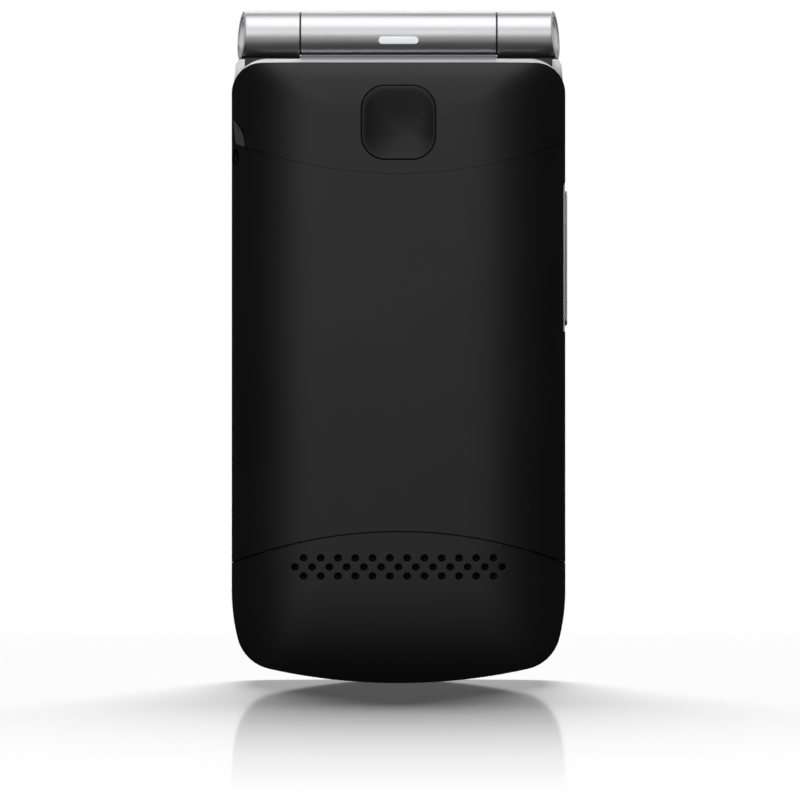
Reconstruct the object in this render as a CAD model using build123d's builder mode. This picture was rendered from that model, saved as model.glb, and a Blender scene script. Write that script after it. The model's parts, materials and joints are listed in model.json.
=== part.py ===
from build123d import *

import math
import os

# A clamshell phone, closed and standing on its free end. +Z runs up to the hinge, -Y is the back of the
# base and +Y the outside of the lid. The origin lies under the middle of the closed body. Millimetres.

# ---- Driving dimensions ----

# Closed body and its outline, seen along Y
height = 105.1
width = 52.0
lid_gap = 0.7
bottom_radius = 90.6
ease_radius = 30.0
ease_height = 14.4
corner_radius = 6.5
shell_corner = 4.6
frame_corner = 1.2
lid_inset = 0.1

# Fits
fit_gap = 0.02
running_gap = 0.05
part_gap = 0.1
seam_gap = 0.15
cover_gap = 0.25

# Crown of the base's back
back_fall_width = 12.0
back_side_radius = 16.0
back_foot_height = 15.5
back_foot_radius = 30.0
back_head_height = 6.5
back_head_radius = 14.0
back_edge = 2.6

# Crown of the lid's outside
lid_fall_width = 10.0
lid_side_radius = 20.0
lid_foot_height = 12.0
lid_foot_radius = 30.0
lid_head_height = 9.0
lid_head_radius = 30.0
lid_edge = 1.6
crown_margin = 0.5

# Base: walls and layers from the back to the keys
cover_wall = 1.2
battery_headroom = 0.6
battery_thickness = 5.0
bay_floor = 0.8
board_recess = 0.6
shell_wall = 1.3
deck_wall = 1.0
frame_depth = 2.8
frame_wall = 1.25
frame_ledge = 1.1
plate_thickness = 1.5
board_thickness = 0.9
dome_thickness = 0.15
band_height = 0.9

# Hinge
barrel_radius = 3.85
barrel_length = 30.4
joint_gap = 0.3
barrel_clearance = 0.35
knuckle_end_margin = 1.6
knuckle_tilt = 10.0
neck_setback = 0.6
lip_height = 0.65
lip_edge = 0.25
hinge_cap_diameter = 5.6
hinge_cap_thickness = 0.7
hinge_cap_recess = 0.12
hinge_cap_rim = 0.5
hinge_cap_dish_depth = 0.3
shaft_head_diameter = 5.0
shaft_head_flats = 4.0
shaft_diameter = 3.0
shaft_length = 8.4
can_diameter = 5.2
can_flats = 4.4
can_length = 9.4
pivot_tube_diameter = 5.0
pivot_tube_wall = 0.6
pivot_tube_insertion = 9.0
flex_roll_diameter = 3.2
flex_roll_wall = 0.5
light_length = 6.2
light_width = 1.1
light_drop = 0.95
light_depth = 1.3
led_size = 1.6
led_width = 0.9
led_thickness = 0.5

# Seams that bound the battery cover, as circles about points on the centre line
upper_seam_drop = 17.3
upper_seam_radius = 68.7
lower_seam_height = 23.6
lower_seam_radius = 71.0
seam_land = 1.2
notch_reach = 2.2
notch_half_height = 3.9
notch_drop = 12.7
notch_depth = 3.4
notch_setback = 1.0

# Battery bay
battery_side_margin = 9.0
battery_head_margin = 2.6
battery_foot = 26.6
battery_corner = 1.5
bay_clearance = 0.3
contact_width = 9.0
contact_depth = 2.0
contact_reach = 3.6
contact_shoulder = 1.2
contact_pin_count = 3
contact_pin_width = 1.0
contact_pin_pitch = 2.6
contact_pin_depth = 0.25
rail_pocket_height = 10.0
rail_pocket_count = 4
rail_rib = 1.6
rail_side = 1.2
sim_width = 15.0
sim_height = 14.0
sim_drop = 20.6
card_width = 12.0
card_height = 13.0
card_gap = 3.0
reader_lip = 1.0

# Emergency button
sos_size = 11.6
sos_corner = 3.75
sos_gap = 0.22
sos_drop = 9.4
sos_sink = 0.05
sos_edge = 0.3
sos_dish_radius = 22.0
sos_dish_depth = 0.6
sos_flange = 0.8
sos_flange_depth = 0.5
sos_stem_diameter = 3.0
sos_switch_size = 4.6
sos_switch_depth = 1.2
sos_travel = 0.4

# Loudspeaker and its grille
grille_hole = 1.12
grille_pitch = 2.68
grille_row_pitch = 1.4
grille_height = 18.16
grille_count = 13
grille_sides = 8
speaker_width = 30.0
speaker_height = 6.2
speaker_depth = 3.8
speaker_corner = 1.6
mesh_thickness = 0.25
mesh_margin = 1.0

# Small parts on the board
shield_width = 13.0
shield_height = 8.0
shield_depth = 1.6
shield_offset = 13.5
shield_drop = 8.0
antenna_width = 18.0
antenna_height = 5.5
antenna_depth = 2.0
antenna_foot = 5.0
antenna_offset = 11.5
motor_diameter = 4.0
motor_length = 9.0
motor_height = 9.0
motor_offset = 12.0
microphone_width = 3.0
microphone_height = 3.6
microphone_offset = 12.0
microphone_place = 5.4
microphone_hole = 1.0
port_width = 7.5
port_depth = 2.0
port_length = 5.4
port_wall = 0.35
port_recess = 0.3
port_tongue_width = 3.8
port_tongue_depth = 0.6
port_opening_gap = 0.1
screw_shank = 1.4
screw_head = 2.6
screw_head_depth = 1.0
screw_boss = 2.6
screw_margin = 3.8
screw_low = 25.0
screw_drop = 18.5
screw_floor = 1.4
screw_thread = 1.5

# Keys
keypad_margin = 5.8
keypad_foot = 8.6
key_cluster_gap = 3.5
key_column_gap = 1.4
key_row_gap = 2.0
key_corner = 2.4
key_gap = 0.15
key_proud = 0.3
key_edge = 0.4
key_travel = 0.3
key_flange = 0.5
side_key_margin = 1.2
side_key_height = 9.6
side_key_gap = 2.6
nav_width = 20.0
nav_height = 19.0
nav_corner = 5.0
nav_drop = 20.5
nav_ear = 0.7
nav_ear_length = 4.0
nav_ear_gap = 0.15
ok_size = 9.0
ok_corner = 2.6

# Volume rocker on the right side
volume_length = 21.2
volume_thickness = 2.0
volume_drop = 30.2
volume_proud = 0.4
volume_slot_gap = 0.2
volume_flange = 0.6
volume_flange_depth = 0.5
volume_flange_gap = 0.35
volume_recess = 0.3
volume_recess_margin = 0.8
volume_room = 1.3

# Lid: layers from the screen side outwards
lid_plate = 1.2
display_thickness = 2.0
lid_board_thickness = 0.8
outer_display_thickness = 2.7
lid_cover_wall = 1.2
lid_wall = 1.25
window_thickness = 0.55
window_sink = 0.05
window_side_margin = 4.5
window_head_margin = 18.05
window_corner = 2.5
window_foot = 21.0
window_rim = 2.5
display_side_margin = 1.0
display_head_margin = 1.5
lid_board_side_margin = 6.0
lid_board_head_margin = 11.05
lid_board_foot = 14.0
outer_window_width = 30.0
outer_window_height = 30.0
outer_window_corner = 4.0
outer_window_gap = 10.0
outer_window_rim = 2.5
camera_drop = 15.05
camera_lens_diameter = 7.0
camera_lens_thickness = 0.8
camera_lens_step = 0.6
camera_module_size = 8.0
camera_barrel_diameter = 5.4
earpiece_width = 13.0
earpiece_height = 6.0
earpiece_thickness = 2.0
earpiece_foot = 8.0
earpiece_slot_length = 10.0
earpiece_slot_width = 2.0
earpiece_mesh_thickness = 0.3
magnet_diameter = 4.0
magnet_thickness = 1.5
magnet_height = 14.0
magnet_offset = 15.0
bumper_diameter = 3.4
bumper_sink = 0.3
bumper_gap = 0.1
bumper_margin = 6.6
bumper_foot = 6.2
bumper_drop = 7.5

# ---- Derived planes and places ----

shell_depth = cover_wall + battery_headroom + battery_thickness + bay_floor + board_recess
base_depth = shell_depth + frame_depth
lid_depth = lid_plate + display_thickness + lid_board_thickness + outer_display_thickness + lid_cover_wall
back_y = -(base_depth + lid_gap + lid_depth) / 2
shell_y = back_y + shell_depth
face_y = back_y + base_depth
lid_face_y = face_y + lid_gap
front_y = lid_face_y + lid_depth
bay_floor_y = shell_y - board_recess - bay_floor
board_back_y = shell_y - board_recess
board_face_y = board_back_y + board_thickness
dome_face_y = board_face_y + dome_thickness
plate_back_y = face_y - plate_thickness
key_foot_y = dome_face_y + key_travel + part_gap
key_face_y = face_y + key_proud
key_flange_y = plate_back_y - running_gap

half_width = width / 2
hinge_z = height - barrel_radius
hinge_y = (face_y + lid_face_y) / 2
frame_top = hinge_z - barrel_radius
shell_top = frame_top - band_height
lid_top = frame_top - barrel_clearance
barrel_half = barrel_length / 2
knuckle_start = barrel_half + joint_gap
notch_front_y = shell_y - notch_setback
deck_inset = cover_wall + cover_gap
cavity_inset = deck_inset + deck_wall
plate_inset = frame_wall + running_gap
upper_seam_height = shell_top - upper_seam_drop
upper_seam_centre = upper_seam_height + upper_seam_radius
lower_seam_centre = lower_seam_height - lower_seam_radius
knuckle_reach = half_width - knuckle_end_margin
notch_height = shell_top - notch_drop
battery_width = width - 2 * battery_side_margin
battery_height = upper_seam_height - battery_head_margin - battery_foot
battery_centre = battery_foot + battery_height / 2
sim_foot = battery_foot + battery_height - sim_drop
card_foot = sim_foot - card_gap - card_height
sos_height = shell_top - sos_drop
shield_place = shell_top - shield_drop
screw_high = shell_top - screw_drop
volume_height = shell_top - volume_drop

lid_plate_y = lid_face_y + lid_plate
lid_board_y = lid_plate_y + display_thickness
outer_display_y = lid_board_y + lid_board_thickness
lid_cover_inner_y = outer_display_y + outer_display_thickness
lid_part_y = lid_board_y + part_gap

nav_z = shell_top - nav_drop
side_key_width = half_width - keypad_margin - nav_width / 2 - side_key_margin
side_key_x = half_width - keypad_margin - side_key_width / 2
side_key_row = (side_key_height + side_key_gap) / 2
key_width = (width - 2 * keypad_margin - 2 * key_column_gap) / 3
key_space = nav_z - side_key_row - side_key_height / 2 - key_cluster_gap - keypad_foot
key_height = (key_space - 3 * key_row_gap) / 4
key_column = key_width + key_column_gap
key_row = key_height + key_row_gap

window_width = width - 2 * window_side_margin
window_height = lid_top - window_head_margin - window_foot
display_width = window_width - 2 * display_side_margin
display_height = window_height - 2 * display_head_margin
lid_board_width = width - 2 * lid_board_side_margin
lid_board_height = lid_top - lid_board_head_margin - lid_board_foot
camera_height = lid_top - camera_drop
outer_window_foot = camera_height - outer_window_gap - outer_window_height


# ---- Shared shapes ----

def at_y(y):
    """Plane across the phone at a depth, from which extrusions run towards the base's back."""
    return Plane.XZ.offset(-y)


def at_x(x):
    """Plane along the phone at a place across it, from which extrusions run towards +X."""
    return Plane.YZ.offset(x)


def outline(inset, top, top_radius):
    """Draws the phone's outline, seen along Y, into the sketch being built."""
    with Locations((0, bottom_radius)):
        Circle(bottom_radius - inset)
    for side in (-1, 1):
        with Locations((side * (half_width - ease_radius), ease_height)):
            Circle(ease_radius - inset, mode=Mode.INTERSECT)
    with Locations((0, ease_height)):
        Rectangle(width - 2 * inset, top - inset - ease_height, align=(Align.CENTER, Align.MIN))
    fillet(vertices().group_by(Axis.Y)[0], corner_radius - inset)
    fillet(vertices().group_by(Axis.Y)[-1], max(top_radius - inset, fit_gap))


def across(inset, skin, deep, sign, crown):
    """Section across the phone: flat in the middle and falling away in arcs to upright sides."""
    flat, side_radius, edge_radius = crown
    half = half_width - inset
    radius = side_radius - inset
    edge = max(edge_radius - inset, running_gap)
    turn = math.degrees(math.asin((half - flat - edge) / (radius - edge)))
    with BuildSketch(Plane.XY) as section:
        with BuildLine():
            crest = Line((0, skin), (flat, skin))
            fall = JernArc(crest @ 1, (1, 0), radius, sign * turn)
            rim = JernArc(fall @ 1, fall % 1, edge, sign * (90 - turn))
            side = Line(rim @ 1, (half, deep))
            Line(side @ 1, (0, deep))
            mirror(about=Plane.YZ)
        make_face()
    return section.sketch


def along(inset, top, skin, deep, sign, ends):
    """Section along the phone: straight in the middle and falling away in an arc at each end."""
    foot_height, foot_radius, head_height, head_radius = ends
    foot_turn = math.degrees(math.asin((foot_height + crown_margin) / (foot_radius - inset)))
    head_turn = math.degrees(math.asin((head_height + crown_margin) / (head_radius - inset)))
    with BuildSketch(Plane.YZ) as section:
        with BuildLine():
            spine = Line((skin, top - head_height), (skin, foot_height))
            foot = JernArc(spine @ 1, (0, -1), foot_radius - inset, sign * foot_turn)
            head = JernArc(spine @ 0, (0, 1), head_radius - inset, -sign * head_turn)
            Polyline(foot @ 1, (deep, (foot @ 1).Y), (deep, (head @ 1).Y), head @ 1)
        make_face()
    return section.sketch


def back_block(inset, front):
    """The base's crowned back as a solid block, inset on every side and reaching forward to a depth."""
    skin = back_y + inset
    crown = (half_width - back_fall_width, back_side_radius, back_edge)
    ends = (back_foot_height, back_foot_radius, back_head_height, back_head_radius)
    with BuildPart() as block:
        with BuildSketch(at_y(front)):
            outline(inset, shell_top, shell_corner)
        extrude(amount=front - back_y)
        extrude(across(inset, skin, front, 1, crown), amount=2 * height, both=True, mode=Mode.INTERSECT)
        extrude(along(inset, shell_top, skin, front, 1, ends), amount=width, both=True, mode=Mode.INTERSECT)
    return block.part


def lid_block(inset, back):
    """The lid's crowned outside as a solid block, inset on every side and reaching back to a depth."""
    skin = front_y - inset + lid_inset
    crown = (half_width - lid_fall_width, lid_side_radius, lid_edge)
    ends = (lid_foot_height, lid_foot_radius, lid_head_height, lid_head_radius)
    with BuildPart() as block:
        with BuildSketch(at_y(front_y)):
            outline(inset, lid_top, shell_corner)
        extrude(amount=front_y - back)
        extrude(across(inset, skin, back, -1, crown), amount=2 * height, both=True, mode=Mode.INTERSECT)
        extrude(along(inset, lid_top, skin, back, -1, ends), amount=width, both=True, mode=Mode.INTERSECT)
    return block.part


def upper_zone(gap):
    """Keeps what lies above the upper seam, a gap away from it, of the sketch being built."""
    with Locations((0, upper_seam_centre)):
        Circle(upper_seam_radius - gap, mode=Mode.INTERSECT)


def lower_zone(gap):
    """Keeps what lies below the lower seam, a gap away from it, of the sketch being built."""
    with Locations((0, lower_seam_centre)):
        Circle(lower_seam_radius - gap, mode=Mode.INTERSECT)


def cover_zone(gap):
    """Draws the band between the two seams, a gap inside each, across the whole width."""
    Rectangle(width + 2 * seam_land, 2 * height)
    with Locations((0, upper_seam_centre)):
        Circle(upper_seam_radius + gap, mode=Mode.SUBTRACT)
    with Locations((0, lower_seam_centre)):
        Circle(lower_seam_radius + gap, mode=Mode.SUBTRACT)


def notch():
    """The fingernail notch at the left end of the upper seam, as a scallop in the side wall."""
    radius = (notch_half_height**2 + notch_reach**2) / (2 * notch_reach)
    with BuildPart() as scallop:
        with BuildSketch(at_y(notch_front_y)):
            with Locations((notch_reach - half_width - radius, notch_height)):
                Circle(radius)
        extrude(amount=notch_depth)
    return scallop.part


def screw_places():
    """The four screws that hold the base together, under the battery cover."""
    return GridLocations(width - 2 * screw_margin, screw_high - screw_low, 2, 2)


def save(builder, name):
    """Labels a finished piece and writes it as a STEP file."""
    builder.part.label = name
    export_step(builder.part, f"parts/{name}.step")


os.makedirs("parts", exist_ok=True)

back_skin = back_block(0, shell_y)
deck = back_block(deck_inset, shell_y)
cavity = back_block(cavity_inset, shell_y)
end_cavity = back_block(shell_wall, shell_y)
nail_notch = notch()

screw_mid = (screw_low + screw_high) / 2
screw_seat_y = board_back_y - screw_floor
sos_floor_y = back_y + shell_wall
sos_face_y = back_y + sos_sink
sos_flange_y = sos_floor_y + running_gap
sos_back_y = sos_flange_y + sos_flange_depth
sos_room = sos_size + 2 * sos_flange + 2 * sos_gap
mesh_y = back_y + shell_wall + 2 * part_gap
rail_middle = (battery_width / 2 + bay_clearance + half_width - cavity_inset) / 2
rail_width = half_width - cavity_inset - battery_width / 2 - bay_clearance - 2 * rail_side

# ---- Rear housing: one moulding with the ends of the back, the battery bay and the grille ----

with BuildPart() as rear_housing:
    add(back_skin)
    with BuildSketch(at_y(shell_y)):
        cover_zone(0)
    extrude(amount=shell_depth + cover_wall, mode=Mode.SUBTRACT)
    add(deck)
    # the hollow ends
    with BuildPart(mode=Mode.SUBTRACT):
        with BuildSketch(at_y(shell_y)):
            outline(shell_wall, shell_top, shell_corner)
            upper_zone(seam_land)
        extrude(amount=shell_depth)
        with BuildSketch(at_y(shell_y)):
            outline(shell_wall, shell_top, shell_corner)
            lower_zone(seam_land)
        extrude(amount=shell_depth)
        add(end_cavity, mode=Mode.INTERSECT)
    # the seat of the main board
    with BuildSketch(at_y(shell_y)):
        outline(cavity_inset, shell_top, shell_corner)
    extrude(amount=board_recess, mode=Mode.SUBTRACT)
    # the battery bay, open to the back
    with BuildSketch(at_y(bay_floor_y)):
        with Locations((0, battery_centre)):
            RectangleRounded(
                battery_width + 2 * bay_clearance, battery_height + 2 * bay_clearance, battery_corner
            )
    extrude(amount=shell_depth, mode=Mode.SUBTRACT)
    # the seat of the spring contacts, at the head of the bay
    with BuildSketch(at_y(board_back_y)):
        with Locations((0, battery_foot + battery_height + bay_clearance)):
            Rectangle(
                contact_width + 2 * part_gap, contact_depth + part_gap, align=(Align.CENTER, Align.MIN)
            )
    extrude(amount=bay_floor + contact_reach, mode=Mode.SUBTRACT)
    # windows for the card readers
    with BuildSketch(at_y(board_back_y)):
        with Locations((0, sim_foot)):
            Rectangle(sim_width + 2 * part_gap, sim_height, align=(Align.CENTER, Align.MIN))
        with Locations((0, card_foot)):
            Rectangle(card_width + 2 * part_gap, card_height, align=(Align.CENTER, Align.MIN))
    extrude(amount=bay_floor, mode=Mode.SUBTRACT)
    # ribbed rails beside the bay, cored out from the board's side
    with BuildPart(mode=Mode.SUBTRACT):
        with BuildSketch(at_y(board_back_y)):
            with Locations((-rail_middle, battery_centre), (rail_middle, battery_centre)):
                with GridLocations(1, rail_pocket_height + rail_rib, 1, rail_pocket_count):
                    Rectangle(rail_width, rail_pocket_height)
        extrude(amount=shell_depth)
        add(cavity, mode=Mode.INTERSECT)
    # the emergency button's opening and the room behind it
    with BuildSketch(at_y(shell_y)):
        with Locations((0, sos_height)):
            RectangleRounded(sos_size + 2 * sos_gap, sos_size + 2 * sos_gap, sos_corner + sos_gap)
    extrude(amount=2 * shell_depth, mode=Mode.SUBTRACT)
    with BuildSketch(at_y(shell_y)):
        with Locations((0, sos_height)):
            RectangleRounded(sos_room, sos_room, sos_corner + sos_flange)
    extrude(amount=shell_y - sos_floor_y, mode=Mode.SUBTRACT)
    # the loudspeaker's seat and the grille
    with BuildSketch(at_y(shell_y)):
        with Locations((0, grille_height)):
            Rectangle(speaker_width + 2 * mesh_margin + 2 * part_gap, speaker_height + 2 * part_gap)
    extrude(amount=shell_y - mesh_y, mode=Mode.SUBTRACT)
    with BuildSketch(at_y(mesh_y)):
        with Locations((0, grille_height)):
            with GridLocations(grille_pitch, 1, grille_count, 1):
                RegularPolygon(grille_hole / 2, grille_sides)
            with GridLocations(grille_pitch, 2 * grille_row_pitch, grille_count - 1, 2):
                RegularPolygon(grille_hole / 2, grille_sides)
    extrude(amount=shell_depth, mode=Mode.SUBTRACT)
    # screw holes with sunk heads
    with BuildSketch(at_y(shell_y)):
        with Locations((0, screw_mid)):
            with screw_places():
                Circle(screw_shank / 2 + running_gap)
    extrude(amount=shell_depth, mode=Mode.SUBTRACT)
    with BuildSketch(at_y(screw_seat_y)):
        with Locations((0, screw_mid)):
            with screw_places():
                Circle(screw_head / 2 + part_gap)
    extrude(amount=shell_depth, mode=Mode.SUBTRACT)
    add(nail_notch, mode=Mode.SUBTRACT)
    # shallow recess beside the volume key
    with BuildSketch(at_x(half_width - volume_recess)):
        with Locations((shell_y, volume_height)):
            Rectangle(2 * shell_depth, volume_length + 2 * volume_recess_margin)
    extrude(amount=volume_proud, mode=Mode.SUBTRACT)
save(rear_housing, "rear_housing")

# ---- Battery cover ----

with BuildPart() as battery_cover:
    add(back_skin)
    with BuildSketch(at_y(shell_y - seam_gap)):
        cover_zone(seam_gap)
    extrude(amount=shell_depth + cover_wall, mode=Mode.INTERSECT)
    add(back_block(cover_wall, shell_y), mode=Mode.SUBTRACT)
    add(nail_notch, mode=Mode.SUBTRACT)
    with BuildSketch(at_x(half_width - volume_recess)):
        with Locations((shell_y, volume_height)):
            Rectangle(2 * shell_depth, volume_length + 2 * volume_recess_margin)
    extrude(amount=volume_proud, mode=Mode.SUBTRACT)
save(battery_cover, "battery_cover")

# ---- Frame: the silver ring of the base, with the hinge's outer knuckles ----


def end_plane(side):
    """The slanted end of an outer knuckle, turned a little towards the back."""
    tilt = math.radians(knuckle_tilt)
    outward = (side * math.cos(tilt), -math.sin(tilt), 0)
    return Plane(origin=(side * knuckle_reach, hinge_y, hinge_z), x_dir=(0, 0, 1), z_dir=outward)


def double_d(diameter, flats):
    """Draws a round with two flats on the hinge's axis into the sketch being built."""
    with Locations((hinge_y, hinge_z)):
        Circle(diameter / 2)
        Rectangle(flats, diameter, mode=Mode.INTERSECT)


def volume_pocket():
    """Cuts the room behind the frame's wall in which the volume key's flange rocks."""
    with BuildSketch(at_x(half_width - frame_wall)) as room:
        with Locations((face_y - frame_depth / 2, volume_height)):
            Rectangle(
                volume_thickness + 2 * volume_slot_gap,
                volume_length + 2 * volume_flange + 2 * volume_slot_gap,
            )
    extrude(room.sketch, amount=-volume_room, mode=Mode.SUBTRACT)


with BuildPart() as base_frame:
    with BuildSketch(at_y(face_y)):
        outline(0, frame_top, frame_corner)
    extrude(amount=frame_depth)
    with BuildSketch(at_y(face_y)):
        outline(frame_wall, frame_top, frame_corner)
    extrude(amount=plate_thickness, mode=Mode.SUBTRACT)
    with BuildSketch(at_y(plate_back_y)):
        outline(frame_wall + frame_ledge, frame_top, frame_corner)
    extrude(amount=frame_depth, mode=Mode.SUBTRACT)
    # knuckles with slanted, softened ends
    with BuildPart():
        with BuildSketch(at_x(-half_width)):
            with Locations((hinge_y, hinge_z)):
                Circle(barrel_radius)
            with Locations((shell_y + neck_setback, frame_top - frame_wall)):
                Rectangle(
                    frame_depth - neck_setback, hinge_z - frame_top + frame_wall,
                    align=(Align.MIN, Align.MIN),
                )
        extrude(amount=width)
        for side in (-1, 1):
            with BuildSketch(end_plane(side)):
                Rectangle(4 * barrel_radius, 4 * barrel_radius)
            extrude(amount=barrel_radius, mode=Mode.SUBTRACT)
        with BuildSketch(at_x(-knuckle_start)):
            with Locations((hinge_y, hinge_z)):
                Rectangle(4 * barrel_radius, 4 * barrel_radius)
        extrude(amount=2 * knuckle_start, mode=Mode.SUBTRACT)
    # lip below the lid's barrel, hollowed to the barrel's sweep
    with BuildPart():
        with BuildSketch(at_x(-knuckle_start)):
            with Locations((shell_y, frame_top - frame_wall)):
                Rectangle(frame_depth, frame_wall + lip_height, align=(Align.MIN, Align.MIN))
            fillet(vertices().group_by(Axis.X)[0].group_by(Axis.Y)[-1], lip_edge)
        extrude(amount=2 * knuckle_start)
    with BuildSketch(at_x(-knuckle_start)):
        with Locations((hinge_y, hinge_z)):
            Circle(barrel_radius + barrel_clearance)
    extrude(amount=2 * knuckle_start, mode=Mode.SUBTRACT)
    # keyed bore on the left, round bore on the right, and a seat for a cap in each end
    with BuildSketch(at_x(-knuckle_start)):
        double_d(shaft_head_diameter + 2 * fit_gap, shaft_head_flats + 2 * fit_gap)
    extrude(amount=knuckle_start - half_width, mode=Mode.SUBTRACT)
    with BuildSketch(at_x(knuckle_start)):
        with Locations((hinge_y, hinge_z)):
            Circle(pivot_tube_diameter / 2 + fit_gap)
    extrude(amount=half_width - knuckle_start, mode=Mode.SUBTRACT)
    for side in (-1, 1):
        with BuildSketch(end_plane(side)):
            Circle(hinge_cap_diameter / 2 + fit_gap)
        extrude(amount=-hinge_cap_thickness - hinge_cap_recess, mode=Mode.SUBTRACT)
    # charging port, at the foot
    with BuildSketch(Plane.XY):
        with Locations((0, board_face_y + port_depth / 2)):
            RectangleRounded(
                port_width + 2 * port_opening_gap, port_depth + 2 * port_opening_gap,
                port_depth / 2,
            )
    extrude(amount=port_length, mode=Mode.SUBTRACT)
    # volume key: its slot through the wall and the room for its flange
    with BuildSketch(at_x(half_width)):
        with Locations((face_y - frame_depth / 2, volume_height)):
            SlotOverall(
                volume_length + 2 * volume_slot_gap, volume_thickness + 2 * volume_slot_gap, rotation=90
            )
    extrude(amount=-frame_wall - frame_ledge, mode=Mode.SUBTRACT)
    volume_pocket()
save(base_frame, "base_frame")

# ---- Keypad housing: the key side of the base ----


def key_hole(x, z, size_x, size_z, corner):
    """Cuts a key's opening through the keypad housing."""
    with BuildSketch(at_y(face_y)) as hole:
        with Locations((x, z)):
            RectangleRounded(size_x + 2 * key_gap, size_z + 2 * key_gap, corner + key_gap)
    extrude(hole.sketch, amount=plate_thickness, mode=Mode.SUBTRACT)


digit_names = ["1", "2", "3", "4", "5", "6", "7", "8", "9", "star", "0", "hash"]
digit_places = {
    name: (
        (1 - index % 3) * key_column,
        keypad_foot + key_height / 2 + (3 - index // 3) * key_row,
    )
    for index, name in enumerate(digit_names)
}
side_places = {
    "soft_left": (side_key_x, nav_z + side_key_row),
    "soft_right": (-side_key_x, nav_z + side_key_row),
    "call": (side_key_x, nav_z - side_key_row),
    "end": (-side_key_x, nav_z - side_key_row),
}

with BuildPart() as keypad_housing:
    with BuildSketch(at_y(face_y)):
        outline(plate_inset, frame_top, frame_corner)
    extrude(amount=plate_thickness)
    for x, z in digit_places.values():
        key_hole(x, z, key_width, key_height, key_corner)
    for x, z in side_places.values():
        key_hole(x, z, side_key_width, side_key_height, key_corner)
    key_hole(0, nav_z, nav_width, nav_height, nav_corner)
    # screw bosses that reach through the board to the rear housing
    with BuildSketch(at_y(plate_back_y)):
        with Locations((0, screw_mid)):
            with screw_places():
                Circle(screw_boss / 2)
    extrude(amount=plate_back_y - board_back_y)
    with BuildSketch(at_y(board_back_y + screw_thread)):
        with Locations((0, screw_mid)):
            with screw_places():
                Circle(screw_shank / 2)
    extrude(amount=screw_thread, mode=Mode.SUBTRACT)
    # room over the charging port, and the microphone's hole
    with BuildSketch(at_y(board_face_y + port_depth + part_gap)):
        Rectangle(port_width + 2 * part_gap, 2 * (port_recess + port_length + part_gap))
    extrude(amount=plate_thickness, mode=Mode.SUBTRACT)
    with BuildSketch(at_y(face_y)):
        with Locations((microphone_offset, microphone_place)):
            Circle(microphone_hole / 2)
    extrude(amount=plate_thickness, mode=Mode.SUBTRACT)
    volume_pocket()
save(keypad_housing, "keypad_housing")

# ---- Keys ----


def key(name, place, size_x, size_z, corner):
    """A push key with a bevelled top and a flange that holds it under the keypad housing."""
    with BuildPart() as piece:
        with BuildSketch(at_y(key_face_y)):
            with Locations(place):
                RectangleRounded(size_x, size_z, corner)
        extrude(amount=key_face_y - key_flange_y)
        chamfer(faces().sort_by(Axis.Y)[-1].edges(), key_edge)
        with BuildSketch(at_y(key_flange_y)):
            with Locations(place):
                Rectangle(size_x + 2 * key_flange, size_z + 2 * key_flange)
        extrude(amount=key_flange_y - key_foot_y)
    save(piece, name)


for name, place in digit_places.items():
    key(f"key_{name}", place, key_width, key_height, key_corner)
for name, place in side_places.items():
    key(f"key_{name}", place, side_key_width, side_key_height, key_corner)

with BuildPart() as nav_ring:
    with BuildSketch(at_y(key_face_y)):
        with Locations((0, nav_z)):
            RectangleRounded(nav_width, nav_height, nav_corner)
            RectangleRounded(
                ok_size + 2 * key_gap, ok_size + 2 * key_gap, ok_corner + key_gap, mode=Mode.SUBTRACT
            )
    extrude(amount=key_face_y - key_foot_y)
    chamfer(faces().sort_by(Axis.Y)[-1].edges(), key_edge)
    with BuildSketch(at_y(plate_back_y - nav_ear_gap)):
        with Locations((-nav_width / 2, nav_z), (nav_width / 2, nav_z)):
            Rectangle(2 * nav_ear, nav_ear_length)
    extrude(amount=plate_back_y - nav_ear_gap - key_foot_y)
save(nav_ring, "nav_ring")

with BuildPart() as ok_key:
    with BuildSketch(at_y(key_face_y)):
        with Locations((0, nav_z)):
            RectangleRounded(ok_size, ok_size, ok_corner)
    extrude(amount=key_face_y - key_foot_y)
    chamfer(faces().sort_by(Axis.Y)[-1].edges(), key_edge)
save(ok_key, "ok_key")

# ---- Volume key ----

volume_face_x = half_width + volume_proud
volume_flange_x = half_width - frame_wall - volume_flange_gap
with BuildPart() as volume_key:
    with BuildSketch(at_x(volume_flange_x)):
        with Locations((face_y - frame_depth / 2, volume_height)):
            SlotOverall(volume_length, volume_thickness, rotation=90)
    extrude(amount=volume_face_x - volume_flange_x)
    chamfer(faces().sort_by(Axis.X)[-1].edges(), volume_proud / 2)
    with BuildSketch(at_x(volume_flange_x)):
        with Locations((face_y - frame_depth / 2, volume_height)):
            Rectangle(volume_thickness, volume_length + 2 * volume_flange)
    extrude(amount=-volume_flange_depth)
save(volume_key, "volume_key")

# ---- Emergency button and its switch ----

with BuildPart() as sos_button:
    with BuildSketch(at_y(sos_back_y)):
        with Locations((0, sos_height)):
            RectangleRounded(sos_size, sos_size, sos_corner)
    extrude(amount=sos_back_y - sos_face_y)
    chamfer(faces().sort_by(Axis.Y)[0].edges(), sos_edge)
    with Locations((0, sos_face_y - sos_dish_radius + sos_dish_depth, sos_height)):
        Sphere(sos_dish_radius, mode=Mode.SUBTRACT)
    with BuildSketch(at_y(sos_back_y)):
        with Locations((0, sos_height)):
            RectangleRounded(
                sos_size + 2 * sos_flange, sos_size + 2 * sos_flange, sos_corner + sos_flange
            )
    extrude(amount=sos_flange_depth)
    with BuildSketch(at_y(board_back_y - sos_switch_depth - sos_travel - part_gap)):
        with Locations((0, sos_height)):
            Circle(sos_stem_diameter / 2)
    extrude(until=Until.NEXT)
save(sos_button, "sos_button")

with BuildPart() as sos_switch:
    with BuildSketch(at_y(board_back_y)):
        with Locations((0, sos_height)):
            Rectangle(sos_switch_size, sos_switch_size)
    extrude(amount=sos_switch_depth)
save(sos_switch, "sos_switch")

# ---- Boards and what they carry ----

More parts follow.
